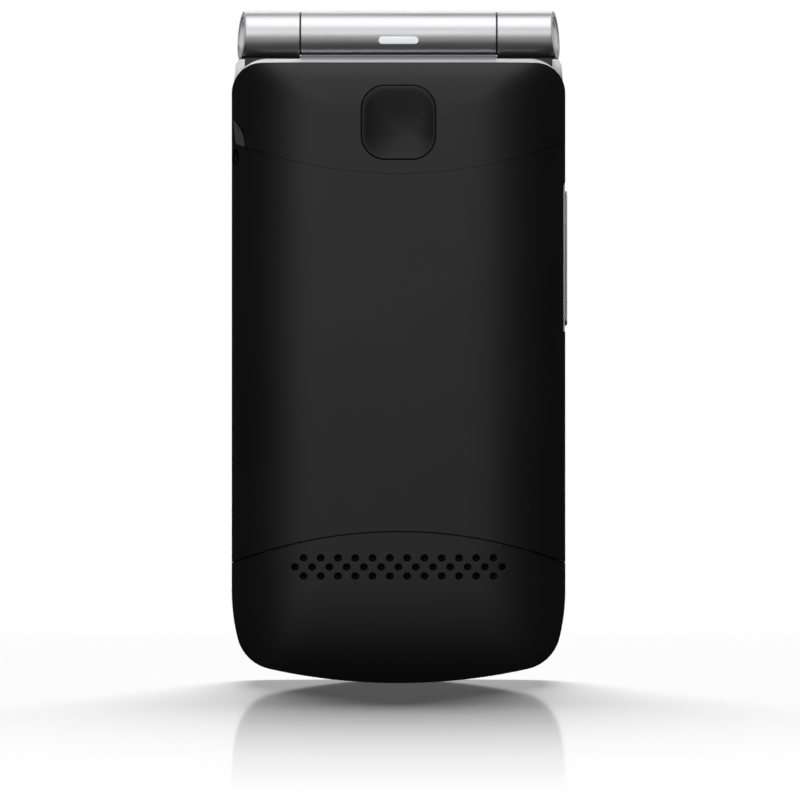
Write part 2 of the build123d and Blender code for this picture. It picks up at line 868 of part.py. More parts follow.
board_inset = frame_wall + frame_ledge + cover_gap
with BuildPart() as main_board:
    with BuildSketch(at_y(board_face_y)):
        outline(board_inset, shell_top, shell_corner)
        with Locations((0, screw_mid)):
            with screw_places():
                Circle(screw_boss / 2 + part_gap, mode=Mode.SUBTRACT)
    extrude(amount=board_thickness)
save(main_board, "main_board")

keypad_top = nav_z + nav_height / 2
with BuildPart() as dome_sheet:
    with BuildSketch(at_y(dome_face_y)):
        with Locations((0, (keypad_foot + keypad_top) / 2)):
            RectangleRounded(width - 2 * keypad_margin, keypad_top - keypad_foot, key_corner)
    extrude(amount=dome_thickness)
save(dome_sheet, "dome_sheet")


def block(piece_place, size_x, size_z, near_y, depth):
    """A closed plain box across the phone, from a depth towards the base's back."""
    with BuildSketch(at_y(near_y)) as base:
        with Locations(piece_place):
            Rectangle(size_x, size_z)
    extrude(base.sketch, amount=depth)


def can(piece_place, size_x, size_z, corner, near_y, depth):
    """A closed rounded box across the phone, from a depth towards the base's back."""
    with BuildSketch(at_y(near_y)) as base:
        with Locations(piece_place):
            RectangleRounded(size_x, size_z, corner)
    extrude(base.sketch, amount=depth)


with BuildPart() as rf_shield:
    block((-shield_offset, shield_place), shield_width, shield_height, board_back_y, shield_depth)
save(rf_shield, "rf_shield")

with BuildPart() as antenna:
    can(
        (-antenna_offset, antenna_foot + antenna_height / 2), antenna_width, antenna_height,
        antenna_depth / 2, board_back_y, antenna_depth,
    )
save(antenna, "antenna")

with BuildPart() as vibration_motor:
    with BuildSketch(at_x(motor_offset - motor_length / 2)):
        with Locations((board_back_y - motor_diameter / 2, motor_height)):
            Circle(motor_diameter / 2)
    extrude(amount=motor_length)
save(vibration_motor, "vibration_motor")

with BuildPart() as microphone:
    block(
        (microphone_offset, microphone_place), microphone_width, microphone_height,
        plate_back_y - running_gap, plate_back_y - running_gap - board_face_y,
    )
save(microphone, "microphone")

port_middle = board_face_y + port_depth / 2
with BuildPart() as charging_port:
    with BuildSketch(Plane.XY.offset(port_recess)):
        with Locations((0, port_middle)):
            RectangleRounded(port_width, port_depth, port_depth / 2 - port_wall)
    extrude(amount=port_length)
    with BuildSketch(Plane.XY.offset(port_recess)):
        with Locations((0, port_middle)):
            RectangleRounded(
                port_width - 2 * port_wall, port_depth - 2 * port_wall, port_depth / 2 - 2 * port_wall
            )
            Rectangle(port_tongue_width, port_tongue_depth, mode=Mode.SUBTRACT)
    extrude(amount=port_length - port_wall, mode=Mode.SUBTRACT)
save(charging_port, "charging_port")

with BuildPart() as speaker_mesh:
    can(
        (0, grille_height), speaker_width + 2 * mesh_margin, speaker_height, speaker_corner,
        mesh_y + mesh_thickness, mesh_thickness,
    )
save(speaker_mesh, "speaker_mesh")

speaker_y = mesh_y + mesh_thickness
with BuildPart() as loudspeaker:
    can(
        (0, grille_height), speaker_width, speaker_height, speaker_corner,
        speaker_y + speaker_depth, speaker_depth,
    )
    with BuildSketch(at_y(speaker_y + mesh_thickness)):
        with Locations((0, grille_height)):
            RectangleRounded(
                speaker_width - 2 * mesh_margin, speaker_height - 2 * mesh_margin,
                speaker_corner - mesh_margin / 2,
            )
    extrude(amount=mesh_thickness, mode=Mode.SUBTRACT)
save(loudspeaker, "loudspeaker")

# ---- Battery, its contacts, the card readers and the base's screws ----

with BuildPart() as battery:
    can(
        (0, battery_centre), battery_width, battery_height, battery_corner,
        bay_floor_y, battery_thickness,
    )
save(battery, "battery")

contact_z = battery_foot + battery_height + bay_clearance
with BuildPart() as battery_contacts:
    with BuildSketch(at_y(board_back_y)):
        with Locations((0, contact_z)):
            Rectangle(contact_width, contact_depth, align=(Align.CENTER, Align.MIN))
        with Locations((0, contact_z)):
            with GridLocations(contact_pin_pitch, 1, contact_pin_count, 1):
                Rectangle(contact_pin_width, 2 * contact_pin_depth)
    extrude(amount=bay_floor + contact_reach)
    with BuildSketch(at_y(board_back_y)):
        with Locations((0, contact_z)):
            Rectangle(contact_width, 2 * contact_pin_depth, align=(Align.CENTER, Align.MAX))
    extrude(amount=bay_floor + contact_shoulder, mode=Mode.SUBTRACT)
save(battery_contacts, "battery_contacts")


def reader(name, foot, size_x, size_z):
    """A card reader in the bay's floor, with a tray that is open to the battery's side."""
    with BuildPart() as piece:
        with BuildSketch(at_y(board_back_y)):
            with Locations((0, foot + part_gap)):
                Rectangle(size_x, size_z - 2 * part_gap, align=(Align.CENTER, Align.MIN))
        extrude(amount=bay_floor)
        with BuildSketch(at_y(board_back_y - bay_floor / 2)):
            with Locations((0, foot + part_gap)):
                Rectangle(
                    size_x - 2 * reader_lip, size_z - 2 * part_gap - reader_lip,
                    align=(Align.CENTER, Align.MIN),
                )
        extrude(amount=bay_floor, mode=Mode.SUBTRACT)
    save(piece, name)


reader("sim_reader", sim_foot, sim_width, sim_height)
reader("card_reader", card_foot, card_width, card_height)

with BuildPart() as base_screws:
    with BuildSketch(at_y(screw_seat_y)):
        with Locations((0, screw_mid)):
            with screw_places():
                Circle(screw_head / 2)
    extrude(amount=screw_head_depth)
    with BuildSketch(at_y(board_back_y + screw_thread)):
        with Locations((0, screw_mid)):
            with screw_places():
                Circle(screw_shank / 2)
    extrude(amount=screw_thread + screw_floor)
save(base_screws, "base_screws")

# ---- Hinge ----

knuckle_bore_end = (
    knuckle_reach - hinge_cap_thickness - hinge_cap_recess
    - pivot_tube_diameter / 2 * math.tan(math.radians(knuckle_tilt)) - running_gap
)


def ring(start, length, outer, inner):
    """A tube on the hinge's axis, from a place across the phone towards +X."""
    with BuildSketch(at_x(start)) as section_ring:
        with Locations((hinge_y, hinge_z)):
            Circle(outer / 2)
            Circle(inner / 2, mode=Mode.SUBTRACT)
    extrude(section_ring.sketch, amount=length)


with BuildPart() as hinge_shaft:
    with BuildSketch(at_x(-knuckle_bore_end)):
        double_d(shaft_head_diameter, shaft_head_flats)
    extrude(amount=knuckle_bore_end - knuckle_start)
    with BuildSketch(at_x(-knuckle_start)):
        with Locations((hinge_y, hinge_z)):
            Circle(shaft_diameter / 2)
    extrude(amount=shaft_length)
save(hinge_shaft, "hinge_shaft")

with BuildPart() as hinge_can:
    with BuildSketch(at_x(-barrel_half)):
        double_d(can_diameter, can_flats)
    extrude(amount=can_length)
    with BuildSketch(at_x(-barrel_half)):
        with Locations((hinge_y, hinge_z)):
            Circle(shaft_diameter / 2 + running_gap)
    extrude(amount=shaft_length - joint_gap + part_gap, mode=Mode.SUBTRACT)
save(hinge_can, "hinge_can")

pivot_tube_start = barrel_half - pivot_tube_insertion
pivot_tube_bore = pivot_tube_diameter - 2 * pivot_tube_wall
with BuildPart() as hinge_pivot_tube:
    ring(pivot_tube_start, knuckle_bore_end - pivot_tube_start, pivot_tube_diameter, pivot_tube_bore)
save(hinge_pivot_tube, "hinge_pivot_tube")

with BuildPart() as flex_roll:
    ring(
        pivot_tube_start, knuckle_bore_end - pivot_tube_start, flex_roll_diameter,
        flex_roll_diameter - 2 * flex_roll_wall,
    )
save(flex_roll, "flex_roll")

with BuildPart() as hinge_caps:
    for side in (-1, 1):
        with BuildSketch(end_plane(side).offset(-hinge_cap_recess)):
            Circle(hinge_cap_diameter / 2)
        extrude(amount=-hinge_cap_thickness)
    for side in (-1, 1):
        with BuildSketch(end_plane(side).offset(-hinge_cap_recess)):
            Circle(hinge_cap_diameter / 2 - hinge_cap_rim)
        extrude(amount=-hinge_cap_dish_depth, mode=Mode.SUBTRACT)
save(hinge_caps, "hinge_caps")

# ---- Lid frame: the silver ring of the lid, its screen side and the hinge's middle barrel ----

light_z = hinge_z - light_drop
light_back_y = hinge_y - math.sqrt(barrel_radius**2 - light_drop**2) + light_depth
window_seat_y = lid_face_y + window_sink + window_thickness
window_z = window_foot + window_height / 2
earpiece_z = earpiece_foot + earpiece_height / 2
bumper_top = lid_top - bumper_drop
bumper_mid = (bumper_foot + bumper_top) / 2
bumper_seat_y = lid_face_y + bumper_sink


def bumper_places():
    """The four rubber bumpers near the corners of the lid's screen side."""
    return GridLocations(width - 2 * bumper_margin, bumper_top - bumper_foot, 2, 2)


with BuildPart() as lid_frame:
    with BuildSketch(at_y(lid_part_y)):
        outline(lid_inset, lid_top, shell_corner)
    extrude(amount=lid_part_y - lid_face_y)
    with BuildSketch(at_y(lid_part_y)):
        outline(lid_inset + lid_wall, lid_top, shell_corner)
    extrude(amount=lid_part_y - lid_plate_y, mode=Mode.SUBTRACT)
    # middle barrel and its neck
    with BuildSketch(at_x(-barrel_half)):
        with Locations((hinge_y, hinge_z)):
            Circle(barrel_radius)
        with Locations((lid_face_y, lid_top - lid_inset - lid_wall)):
            Rectangle(
                lid_part_y - lid_face_y, hinge_z - lid_top + lid_inset + lid_wall,
                align=(Align.MIN, Align.MIN),
            )
    extrude(amount=barrel_length)
    with BuildSketch(at_x(-barrel_half)):
        double_d(can_diameter + 2 * fit_gap, can_flats + 2 * fit_gap)
    extrude(amount=can_length + part_gap, mode=Mode.SUBTRACT)
    with BuildSketch(at_x(barrel_half)):
        with Locations((hinge_y, hinge_z)):
            Circle(pivot_tube_diameter / 2 + running_gap)
    extrude(amount=-pivot_tube_insertion - part_gap, mode=Mode.SUBTRACT)
    # seats of the light guide and its lamp
    with BuildSketch(at_y(light_back_y)):
        with Locations((0, light_z)):
            SlotOverall(light_length + 2 * fit_gap, light_width + 2 * fit_gap)
    extrude(amount=barrel_radius, mode=Mode.SUBTRACT)
    with BuildSketch(at_y(light_back_y + led_thickness)):
        with Locations((0, light_z)):
            Rectangle(led_size, led_width)
    extrude(amount=led_thickness, mode=Mode.SUBTRACT)
    # screen window and its opening
    with BuildSketch(at_y(window_seat_y)):
        with Locations((0, window_z)):
            RectangleRounded(
                window_width + 2 * running_gap, window_height + 2 * running_gap,
                window_corner + running_gap,
            )
    extrude(amount=window_seat_y - lid_face_y, mode=Mode.SUBTRACT)
    with BuildSketch(at_y(lid_plate_y)):
        with Locations((0, window_z)):
            Rectangle(window_width - 2 * window_rim, window_height - 2 * window_rim)
        with Locations((0, earpiece_z)):
            SlotOverall(earpiece_slot_length, earpiece_slot_width)
    extrude(amount=lid_plate, mode=Mode.SUBTRACT)
    # the bumpers' seats
    with BuildSketch(at_y(bumper_seat_y)):
        with Locations((0, bumper_mid)):
            with bumper_places():
                Circle(bumper_diameter / 2 + fit_gap)
    extrude(amount=bumper_sink, mode=Mode.SUBTRACT)
save(lid_frame, "lid_frame")

with BuildPart() as light_guide:
    with BuildSketch(at_y(light_back_y)):
        with Locations((0, light_z)):
            SlotOverall(light_length, light_width)
    extrude(amount=barrel_radius)
    with BuildSketch(at_x(-light_length)):
        with Locations((hinge_y, hinge_z)):
            Circle(barrel_radius)
    extrude(amount=2 * light_length, mode=Mode.INTERSECT)
save(light_guide, "light_guide")

with BuildPart() as indicator_led:
    with BuildSketch(at_y(light_back_y + led_thickness)):
        with Locations((0, light_z)):
            Rectangle(led_size, led_width)
    extrude(amount=led_thickness)
save(indicator_led, "indicator_led")

# ---- Lid: outer cover ----

outer_window_seat_y = front_y - window_sink - window_thickness
outer_window_z = outer_window_foot + outer_window_height / 2
lens_seat_y = front_y - camera_lens_thickness

with BuildPart() as lid_outer_cover:
    add(lid_block(lid_inset, lid_part_y))
    add(lid_block(lid_inset + lid_cover_wall, lid_part_y), mode=Mode.SUBTRACT)
    with BuildSketch(at_y(front_y + window_sink)):
        with Locations((0, outer_window_z)):
            RectangleRounded(
                outer_window_width + 2 * running_gap, outer_window_height + 2 * running_gap,
                outer_window_corner + running_gap,
            )
    extrude(amount=front_y + window_sink - outer_window_seat_y, mode=Mode.SUBTRACT)
    with BuildSketch(at_y(front_y)):
        with Locations((0, outer_window_z)):
            Rectangle(
                outer_window_width - 2 * outer_window_rim, outer_window_height - 2 * outer_window_rim
            )
        with Locations((0, camera_height)):
            Circle(camera_lens_diameter / 2 - camera_lens_step)
    extrude(amount=lid_depth / 2, mode=Mode.SUBTRACT)
    with BuildSketch(at_y(front_y + window_sink)):
        with Locations((0, camera_height)):
            Circle(camera_lens_diameter / 2 + running_gap)
    extrude(amount=front_y + window_sink - lens_seat_y, mode=Mode.SUBTRACT)
save(lid_outer_cover, "lid_outer_cover")

# ---- Lid: what it carries ----

with BuildPart() as display_window:
    can((0, window_z), window_width, window_height, window_corner, window_seat_y, window_thickness)
save(display_window, "display_window")

with BuildPart() as main_display:
    block((0, window_z), display_width, display_height, lid_board_y, display_thickness)
save(main_display, "main_display")

with BuildPart() as lid_board:
    can(
        (0, lid_board_foot + lid_board_height / 2), lid_board_width, lid_board_height, window_corner,
        outer_display_y, lid_board_thickness,
    )
save(lid_board, "lid_board")

with BuildPart() as outer_display:
    block(
        (0, outer_window_z), outer_window_width - outer_window_rim, outer_window_height - outer_window_rim,
        lid_cover_inner_y - running_gap, outer_display_thickness - running_gap,
    )
save(outer_display, "outer_display")

with BuildPart() as outer_window:
    can(
        (0, outer_window_z), outer_window_width, outer_window_height, outer_window_corner,
        outer_window_seat_y + window_thickness, window_thickness,
    )
save(outer_window, "outer_window")

with BuildPart() as camera_module:
    block(
        (0, camera_height), camera_module_size, camera_module_size,
        lid_cover_inner_y - running_gap, outer_display_thickness - running_gap,
    )
    with BuildSketch(at_y(lens_seat_y - running_gap)):
        with Locations((0, camera_height)):
            Circle(camera_barrel_diameter / 2)
    extrude(amount=lid_cover_wall)
save(camera_module, "camera_module")

with BuildPart() as camera_lens:
    with BuildSketch(at_y(front_y)):
        with Locations((0, camera_height)):
            Circle(camera_lens_diameter / 2)
    extrude(amount=camera_lens_thickness)
save(camera_lens, "camera_lens")

with BuildPart() as earpiece:
    can(
        (0, earpiece_z), earpiece_width, earpiece_height, earpiece_height / 3,
        lid_plate_y + earpiece_thickness, earpiece_thickness,
    )
save(earpiece, "earpiece")

with BuildPart() as earpiece_mesh:
    with BuildSketch(at_y(lid_plate_y)):
        with Locations((0, earpiece_z)):
            SlotOverall(earpiece_slot_length - 2 * fit_gap, earpiece_slot_width - 2 * fit_gap)
    extrude(amount=earpiece_mesh_thickness)
save(earpiece_mesh, "earpiece_mesh")

with BuildPart() as lid_magnet:
    with BuildSketch(at_y(lid_plate_y + magnet_thickness)):
        with Locations((magnet_offset, magnet_height)):
            Circle(magnet_diameter / 2)
    extrude(amount=magnet_thickness)
save(lid_magnet, "lid_magnet")

with BuildPart() as lid_bumpers:
    with BuildSketch(at_y(bumper_seat_y)):
        with Locations((0, bumper_mid)):
            with bumper_places():
                Circle(bumper_diameter / 2)
    extrude(amount=bumper_seat_y - face_y - bumper_gap)
save(lid_bumpers, "lid_bumpers")
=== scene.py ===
"""A closed clamshell phone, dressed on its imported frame.

Lengths are in millimetres until a mesh is finished.
"""
import functools
import json
import logging
import math
from dataclasses import dataclass, field
from enum import Enum
from typing import Callable, Iterable

import bmesh
import bpy
from bmesh.types import BMEdge, BMesh, BMFace, BMVert
from mathutils import Matrix, Vector, geometry

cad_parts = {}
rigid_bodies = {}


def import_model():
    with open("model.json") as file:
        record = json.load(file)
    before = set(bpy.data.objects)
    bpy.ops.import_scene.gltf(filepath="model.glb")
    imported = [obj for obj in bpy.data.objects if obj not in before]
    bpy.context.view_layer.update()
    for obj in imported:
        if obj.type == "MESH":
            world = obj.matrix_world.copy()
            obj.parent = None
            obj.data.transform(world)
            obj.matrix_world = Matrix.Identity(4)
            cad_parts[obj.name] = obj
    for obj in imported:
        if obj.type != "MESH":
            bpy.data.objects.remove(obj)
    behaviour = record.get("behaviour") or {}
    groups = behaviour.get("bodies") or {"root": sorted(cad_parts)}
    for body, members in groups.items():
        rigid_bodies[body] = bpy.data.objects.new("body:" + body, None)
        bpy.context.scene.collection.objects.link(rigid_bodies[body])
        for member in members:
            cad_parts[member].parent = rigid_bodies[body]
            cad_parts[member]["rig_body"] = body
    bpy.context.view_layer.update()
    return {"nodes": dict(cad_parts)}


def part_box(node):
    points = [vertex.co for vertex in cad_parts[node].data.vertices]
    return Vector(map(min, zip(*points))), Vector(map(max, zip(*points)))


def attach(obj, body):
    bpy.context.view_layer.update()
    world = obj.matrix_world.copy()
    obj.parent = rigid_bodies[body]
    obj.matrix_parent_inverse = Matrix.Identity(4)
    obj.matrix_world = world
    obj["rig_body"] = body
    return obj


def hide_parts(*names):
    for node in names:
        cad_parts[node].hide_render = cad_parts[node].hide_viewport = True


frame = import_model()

TALLY = logging.getLogger("phone")

MM = 0.001
MERGE = 0.0005  # points closer than this become one
TOUCH = 0.005  # depths closer than this are the same
FACING = 0.9  # least cosine between a face and the surface it belongs to
SIDES = {-1: "left", 1: "right"}
TO_VIEWER = Vector((0.0, -1.0, 0.0))

Socket = bpy.types.NodeSocket
Tree = bpy.types.NodeTree
Colour = tuple[float, float, float]
Place = tuple[float, float, float]
Rule = Callable[[Vector, Vector], Vector | None]


# ---- Finishes ----

def feed(tree: Tree, node: bpy.types.Node, values: dict[str | int, object]) -> None:
    """Fills a shader node's inputs.

    Args:
        tree: The node tree.
        node: The node.
        values: What each input gets: a socket is linked, anything else is set.
    """
    for name, value in values.items():
        if isinstance(value, Socket):
            tree.links.new(value, node.inputs[name])
        else:
            node.inputs[name].default_value = value


def node_of(tree: Tree, kind: str, values: dict[str | int, object]) -> bpy.types.Node:
    """Adds a shader node.

    Args:
        tree: The node tree.
        kind: The node's kind.
        values: Values and links of its inputs.

    Returns:
        The node.
    """
    node = tree.nodes.new(f"ShaderNode{kind}")
    feed(tree, node, values)
    return node


def new_material(name: str) -> tuple[bpy.types.Material, Tree]:
    """Makes a material.

    Args:
        name: Its name.

    Returns:
        The material and its node tree, which holds a principled shader.
    """
    material = bpy.data.materials.new(name)
    material.use_nodes = True
    return material, material.node_tree


class Pattern(Enum):
    """What a finish shows close up."""

    GRAIN = "fine moulded grain"
    BRUSHED = "fine lines along the length"
    WEAVE = "woven wire"
    TRACES = "tracks under lacquer"
    PIXELS = "rows of picture cells"


@dataclass(frozen=True)
class Finish:
    """A procedural surface. Grain, relief and cloud are lengths in millimetres."""

    name: str
    colour: Colour
    roughness: float
    metallic: float = 0.0
    shade: float = 0.12
    polish: float = 0.05
    grain: float = 0.35
    relief: float = 0.004
    cloud: float = 14.0
    coat: float = 0.0
    clarity: float = 0.0
    index: float = 1.5
    glow: float = 0.0
    specular: float = 0.5
    pattern: Pattern = Pattern.GRAIN

    def noise(self, tree: Tree, place: Socket, size: float, detail: float) -> Socket:
        """Adds a noise texture.

        Args:
            tree: The material's node tree.
            place: The coordinates it reads.
            size: Size of its features in millimetres.
            detail: Number of finer layers.

        Returns:
            The socket with a value around 0.5.
        """
        scale = 1 / (size * MM)
        return node_of(tree, "TexNoise", {"Scale": scale, "Detail": detail, "Vector": place}).outputs["Fac"]

    def relief_of(self, tree: Tree, place: Socket) -> Socket:
        """Adds the fine pattern's nodes.

        Args:
            tree: The material's node tree.
            place: Object coordinates.

        Returns:
            The socket that carries the height, from 0 to 1.
        """
        scale = 1 / (self.grain * MM)
        if self.pattern is Pattern.BRUSHED:
            stretch = node_of(tree, "Mapping", {"Scale": (0.05, 1.0, 1.0), "Vector": place})
            return self.noise(tree, stretch.outputs["Vector"], self.grain, 3.0)
        if self.pattern is Pattern.PIXELS:
            turn = node_of(tree, "Mapping", {"Rotation": (math.radians(90), 0.0, 0.0), "Vector": place})
            size = {"Scale": scale, "Mortar Size": 0.06, "Brick Width": 1.0, "Row Height": 1.0}
            cells = node_of(tree, "TexBrick", {**size, "Vector": turn.outputs["Vector"]})
            cells.offset = 0.0
            return cells.outputs["Fac"]
        if self.pattern in (Pattern.WEAVE, Pattern.TRACES):
            tracks = self.pattern is Pattern.TRACES
            loose = 0.9 if tracks else 0.0
            cells = node_of(tree, "TexVoronoi", {"Scale": scale, "Randomness": loose, "Vector": place})
            cells.distance = "CHEBYCHEV" if tracks else "EUCLIDEAN"
            return cells.outputs["Distance"]
        return self.noise(tree, place, self.grain, 4.0)

    def spread(self, tree: Tree, amount: Socket, low: float, high: float) -> Socket:
        """Maps a value around 0.5 to a range.

        Args:
            tree: The material's node tree.
            amount: The value to map.
            low: Result at the value's usual lowest.
            high: Result at the value's usual highest.

        Returns:
            The mapped value's socket.
        """
        scale = {"From Min": 0.3, "From Max": 0.7, "To Min": max(low, 0.0), "To Max": min(high, 1.0)}
        return node_of(tree, "MapRange", {**scale, "Value": amount}).outputs["Result"]

    def material(self) -> bpy.types.Material:
        """Builds the material's nodes.

        Returns:
            The finished material.
        """
        material, tree = new_material(self.name)
        place = tree.nodes.new("ShaderNodeTexCoord").outputs["Object"]
        height = self.relief_of(tree, place)
        bump = node_of(tree, "Bump", {"Distance": self.relief * MM, "Height": height})
        cloud = self.noise(tree, place, self.cloud, 3.0)
        tint = height if self.pattern in (Pattern.WEAVE, Pattern.TRACES, Pattern.PIXELS) else cloud
        mix = tree.nodes.new("ShaderNodeMix")
        mix.data_type = "RGBA"
        feed(tree, mix, {
            "A": (*(c * (1 - self.shade) for c in self.colour), 1.0),
            "B": (*(min(c * (1 + self.shade), 1.0) for c in self.colour), 1.0),
            "Factor": self.spread(tree, tint, 0.0, 1.0),
        })
        shader = tree.nodes["Principled BSDF"]
        feed(tree, shader, {
            "Base Color": mix.outputs["Result"],
            "Roughness": self.spread(tree, cloud, self.roughness - self.polish, self.roughness + self.polish),
            "Metallic": self.metallic,
            "Coat Weight": self.coat,
            "Transmission Weight": self.clarity,
            "IOR": self.index,
            "Specular IOR Level": self.specular,
            "Normal": bump.outputs["Normal"],
        })
        if self.glow:
            feed(tree, shader, {"Emission Strength": self.glow, "Emission Color": mix.outputs["Result"]})
        return material


@dataclass(frozen=True)
class FloorFinish:
    """A white floor that mirrors a little close to the object and not at all further off.

    Its lengths are in metres.
    """

    glow: float = 0.12
    mirror: float = 0.34
    gloss: float = 0.06
    fade_start: float = 0.12
    fade_end: float = 0.27

    def material(self) -> bpy.types.Material:
        """Builds the floor's nodes.

        Returns:
            The finished material.
        """
        material, tree = new_material("floor_white")
        shader = tree.nodes["Principled BSDF"]
        feed(tree, shader, {
            "Base Color": (0.9, 0.9, 0.9, 1.0),
            "Roughness": 0.9,
            "Specular IOR Level": 0.0,
            "Emission Color": (1.0, 1.0, 1.0, 1.0),
            "Emission Strength": self.glow,
        })
        gloss = node_of(tree, "BsdfGlossy", {"Roughness": self.gloss})
        reach = tree.nodes.new("ShaderNodeVectorMath")
        reach.operation = "LENGTH"
        feed(tree, reach, {0: tree.nodes.new("ShaderNodeTexCoord").outputs["Object"]})
        fade = node_of(tree, "MapRange", {
            "From Min": self.fade_start,
            "From Max": self.fade_end,
            "To Min": self.mirror,
            "To Max": 0.0,
            "Value": reach.outputs["Value"],
        })
        mix = node_of(tree, "MixShader", {
            "Fac": fade.outputs["Result"], 1: shader.outputs["BSDF"], 2: gloss.outputs["BSDF"],
        })
        feed(tree, tree.nodes["Material Output"], {"Surface": mix.outputs["Shader"]})
        return material


@functools.cache
def material_of(finish: Finish) -> bpy.types.Material:
    """Returns the one material of a finish."""
    return finish.material()


FINISHES = {
    finish.name: finish
    for finish in (
        Finish(
            "frame_silver", (0.72, 0.72, 0.735), 0.42, metallic=1.0, shade=0.02, polish=0.02, grain=0.1,
            relief=0.0005,
        ),
        Finish(
            "shell_black", (0.007, 0.007, 0.0082), 0.46, shade=0.08, polish=0.02, grain=0.22, relief=0.003,
            cloud=20.0,
        ),
        Finish("deck_black", (0.014, 0.014, 0.015), 0.42, grain=0.25, relief=0.003),
        Finish(
            "board_green", (0.01, 0.11, 0.045), 0.35, shade=0.5, grain=1.6, relief=0.02, coat=0.4,
            pattern=Pattern.TRACES,
        ),
        Finish("dome_film", (0.55, 0.56, 0.58), 0.30, metallic=0.4, grain=0.6, relief=0.006),
        # near-black speaker and earpiece mesh: partly its own black, partly painted shade that darkens the
        # grille holes
        Finish(
            "mesh_steel", (0.004, 0.004, 0.0045), 0.60, shade=0.7, grain=0.22, relief=0.05, specular=0.15,
            pattern=Pattern.WEAVE,
        ),
        Finish("speaker_black", (0.02, 0.02, 0.02), 0.55, grain=0.3, relief=0.008),
        Finish(
            "battery_can", (0.46, 0.47, 0.50), 0.42, metallic=0.6, grain=0.5, relief=0.004,
            pattern=Pattern.BRUSHED,
        ),
        Finish("contact_brass", (0.83, 0.62, 0.25), 0.26, metallic=1.0, grain=0.2, relief=0.002),
        Finish(
            "shield_steel", (0.60, 0.60, 0.58), 0.36, metallic=1.0, grain=0.4, relief=0.003,
            pattern=Pattern.BRUSHED,
        ),
        Finish("switch_black", (0.018, 0.018, 0.018), 0.40, grain=0.25),
        Finish("antenna_white", (0.72, 0.71, 0.68), 0.45, shade=0.05, grain=0.3),
        Finish(
            "motor_steel", (0.55, 0.55, 0.56), 0.30, metallic=1.0, grain=0.3, relief=0.002,
            pattern=Pattern.BRUSHED,
        ),
        Finish("port_steel", (0.58, 0.58, 0.60), 0.28, metallic=1.0, grain=0.2, relief=0.002),
        Finish("screw_steel", (0.42, 0.42, 0.44), 0.30, metallic=1.0, grain=0.15, relief=0.002),
        Finish(
            "hinge_steel", (0.50, 0.50, 0.52), 0.27, metallic=1.0, grain=0.2, relief=0.002,
            pattern=Pattern.BRUSHED,
        ),
        Finish("flex_amber", (0.42, 0.17, 0.03), 0.30, shade=0.25, grain=0.5, relief=0.003, coat=0.5),
        Finish(
            "button_black", (0.005, 0.005, 0.0058), 0.42, shade=0.08, grain=0.18, relief=0.0012,
            specular=0.36,
        ),
        Finish("key_silver", (0.72, 0.72, 0.74), 0.28, metallic=1.0, shade=0.04, grain=0.12, relief=0.0012),
        Finish("key_black", (0.015, 0.015, 0.016), 0.36, grain=0.2, relief=0.002),
        Finish("light_white", (0.86, 0.87, 0.88), 0.35, shade=0.04, relief=0.001, glow=0.6),
        Finish("lamp_white", (0.80, 0.80, 0.76), 0.30, shade=0.05, relief=0.001),
        Finish(
            "window_clear", (0.97, 0.98, 0.98), 0.04, shade=0.01, polish=0.02, relief=0.0002, clarity=1.0,
            index=1.49,
        ),
        Finish(
            "display_dark", (0.012, 0.013, 0.016), 0.16, shade=0.35, grain=0.24, relief=0.001, coat=0.6,
            pattern=Pattern.PIXELS,
        ),
        Finish("window_dark", (0.006, 0.006, 0.007), 0.06, polish=0.03, relief=0.0003, coat=0.8),
        Finish("magnet_nickel", (0.62, 0.61, 0.58), 0.22, metallic=1.0, relief=0.001),
        Finish("bumper_rubber", (0.022, 0.022, 0.022), 0.68, grain=0.3, relief=0.006),
        Finish("legend_white", (0.80, 0.81, 0.82), 0.45, shade=0.04, grain=0.1, relief=0.0008),
        Finish("legend_green", (0.05, 0.50, 0.10), 0.42, shade=0.08, grain=0.1, relief=0.0008),
        Finish("legend_red", (0.60, 0.03, 0.03), 0.42, shade=0.08, grain=0.1, relief=0.0008),
    )
}


# ---- Mesh helpers ----

class Pen:
    """Draws a closed outline in the XZ plane as edges of a mesh, from a starting point."""

    def __init__(self, x: float, z: float) -> None:
        """Sets the pen down at a point."""
        self.mesh = bmesh.new()
        self.tip = bmesh.ops.create_vert(self.mesh, co=(x, 0.0, z))["vert"][0]

    def line(self, x: float, z: float) -> "Pen":
        """Draws a straight line.

        Args:
            x: Its end along X.
            z: Its end along Z.

        Returns:
            The pen.
        """
        self.tip = bmesh.ops.extrude_vert_indiv(self.mesh, verts=[self.tip])["verts"][0]
        self.tip.co = (x, 0.0, z)
        return self

    def arc(self, centre: tuple[float, float], degrees: float, steps: int) -> "Pen":
        """Swings the tip about a centre.

        Args:
            centre: Centre of the arc, as x and z.
            degrees: Sweep, anticlockwise as seen from -Y where positive.
            steps: Number of edges.

        Returns:
            The pen.
        """
        made = bmesh.ops.spin(
            self.mesh, geom=[self.tip], cent=(centre[0], 0.0, centre[1]), axis=(0.0, -1.0, 0.0),
            angle=math.radians(degrees), steps=steps,
        )
        self.tip = next(item for item in made["geom_last"] if isinstance(item, BMVert))
        return self

    def solid(self, near: float, far: float) -> BMesh:
        """Closes the outline and extrudes it between two depths.

        Args:
            near: Depth of the first face along Y.
            far: Depth of the second face along Y.

        Returns:
            The closed prism.
        """
        mesh = self.mesh
        bmesh.ops.remove_doubles(mesh, verts=mesh.verts, dist=0.002)
        face = bmesh.ops.contextual_create(mesh, geom=mesh.edges[:])["faces"][0]
        bmesh.ops.translate(mesh, vec=(0.0, near, 0.0), verts=mesh.verts)
        made = bmesh.ops.extrude_face_region(mesh, geom=[face], use_keep_orig=True)["geom"]
        moved = [item for item in made if isinstance(item, BMVert)]
        bmesh.ops.translate(mesh, vec=(0.0, far - near, 0.0), verts=moved)
        bmesh.ops.recalc_face_normals(mesh, faces=mesh.faces)
        return mesh


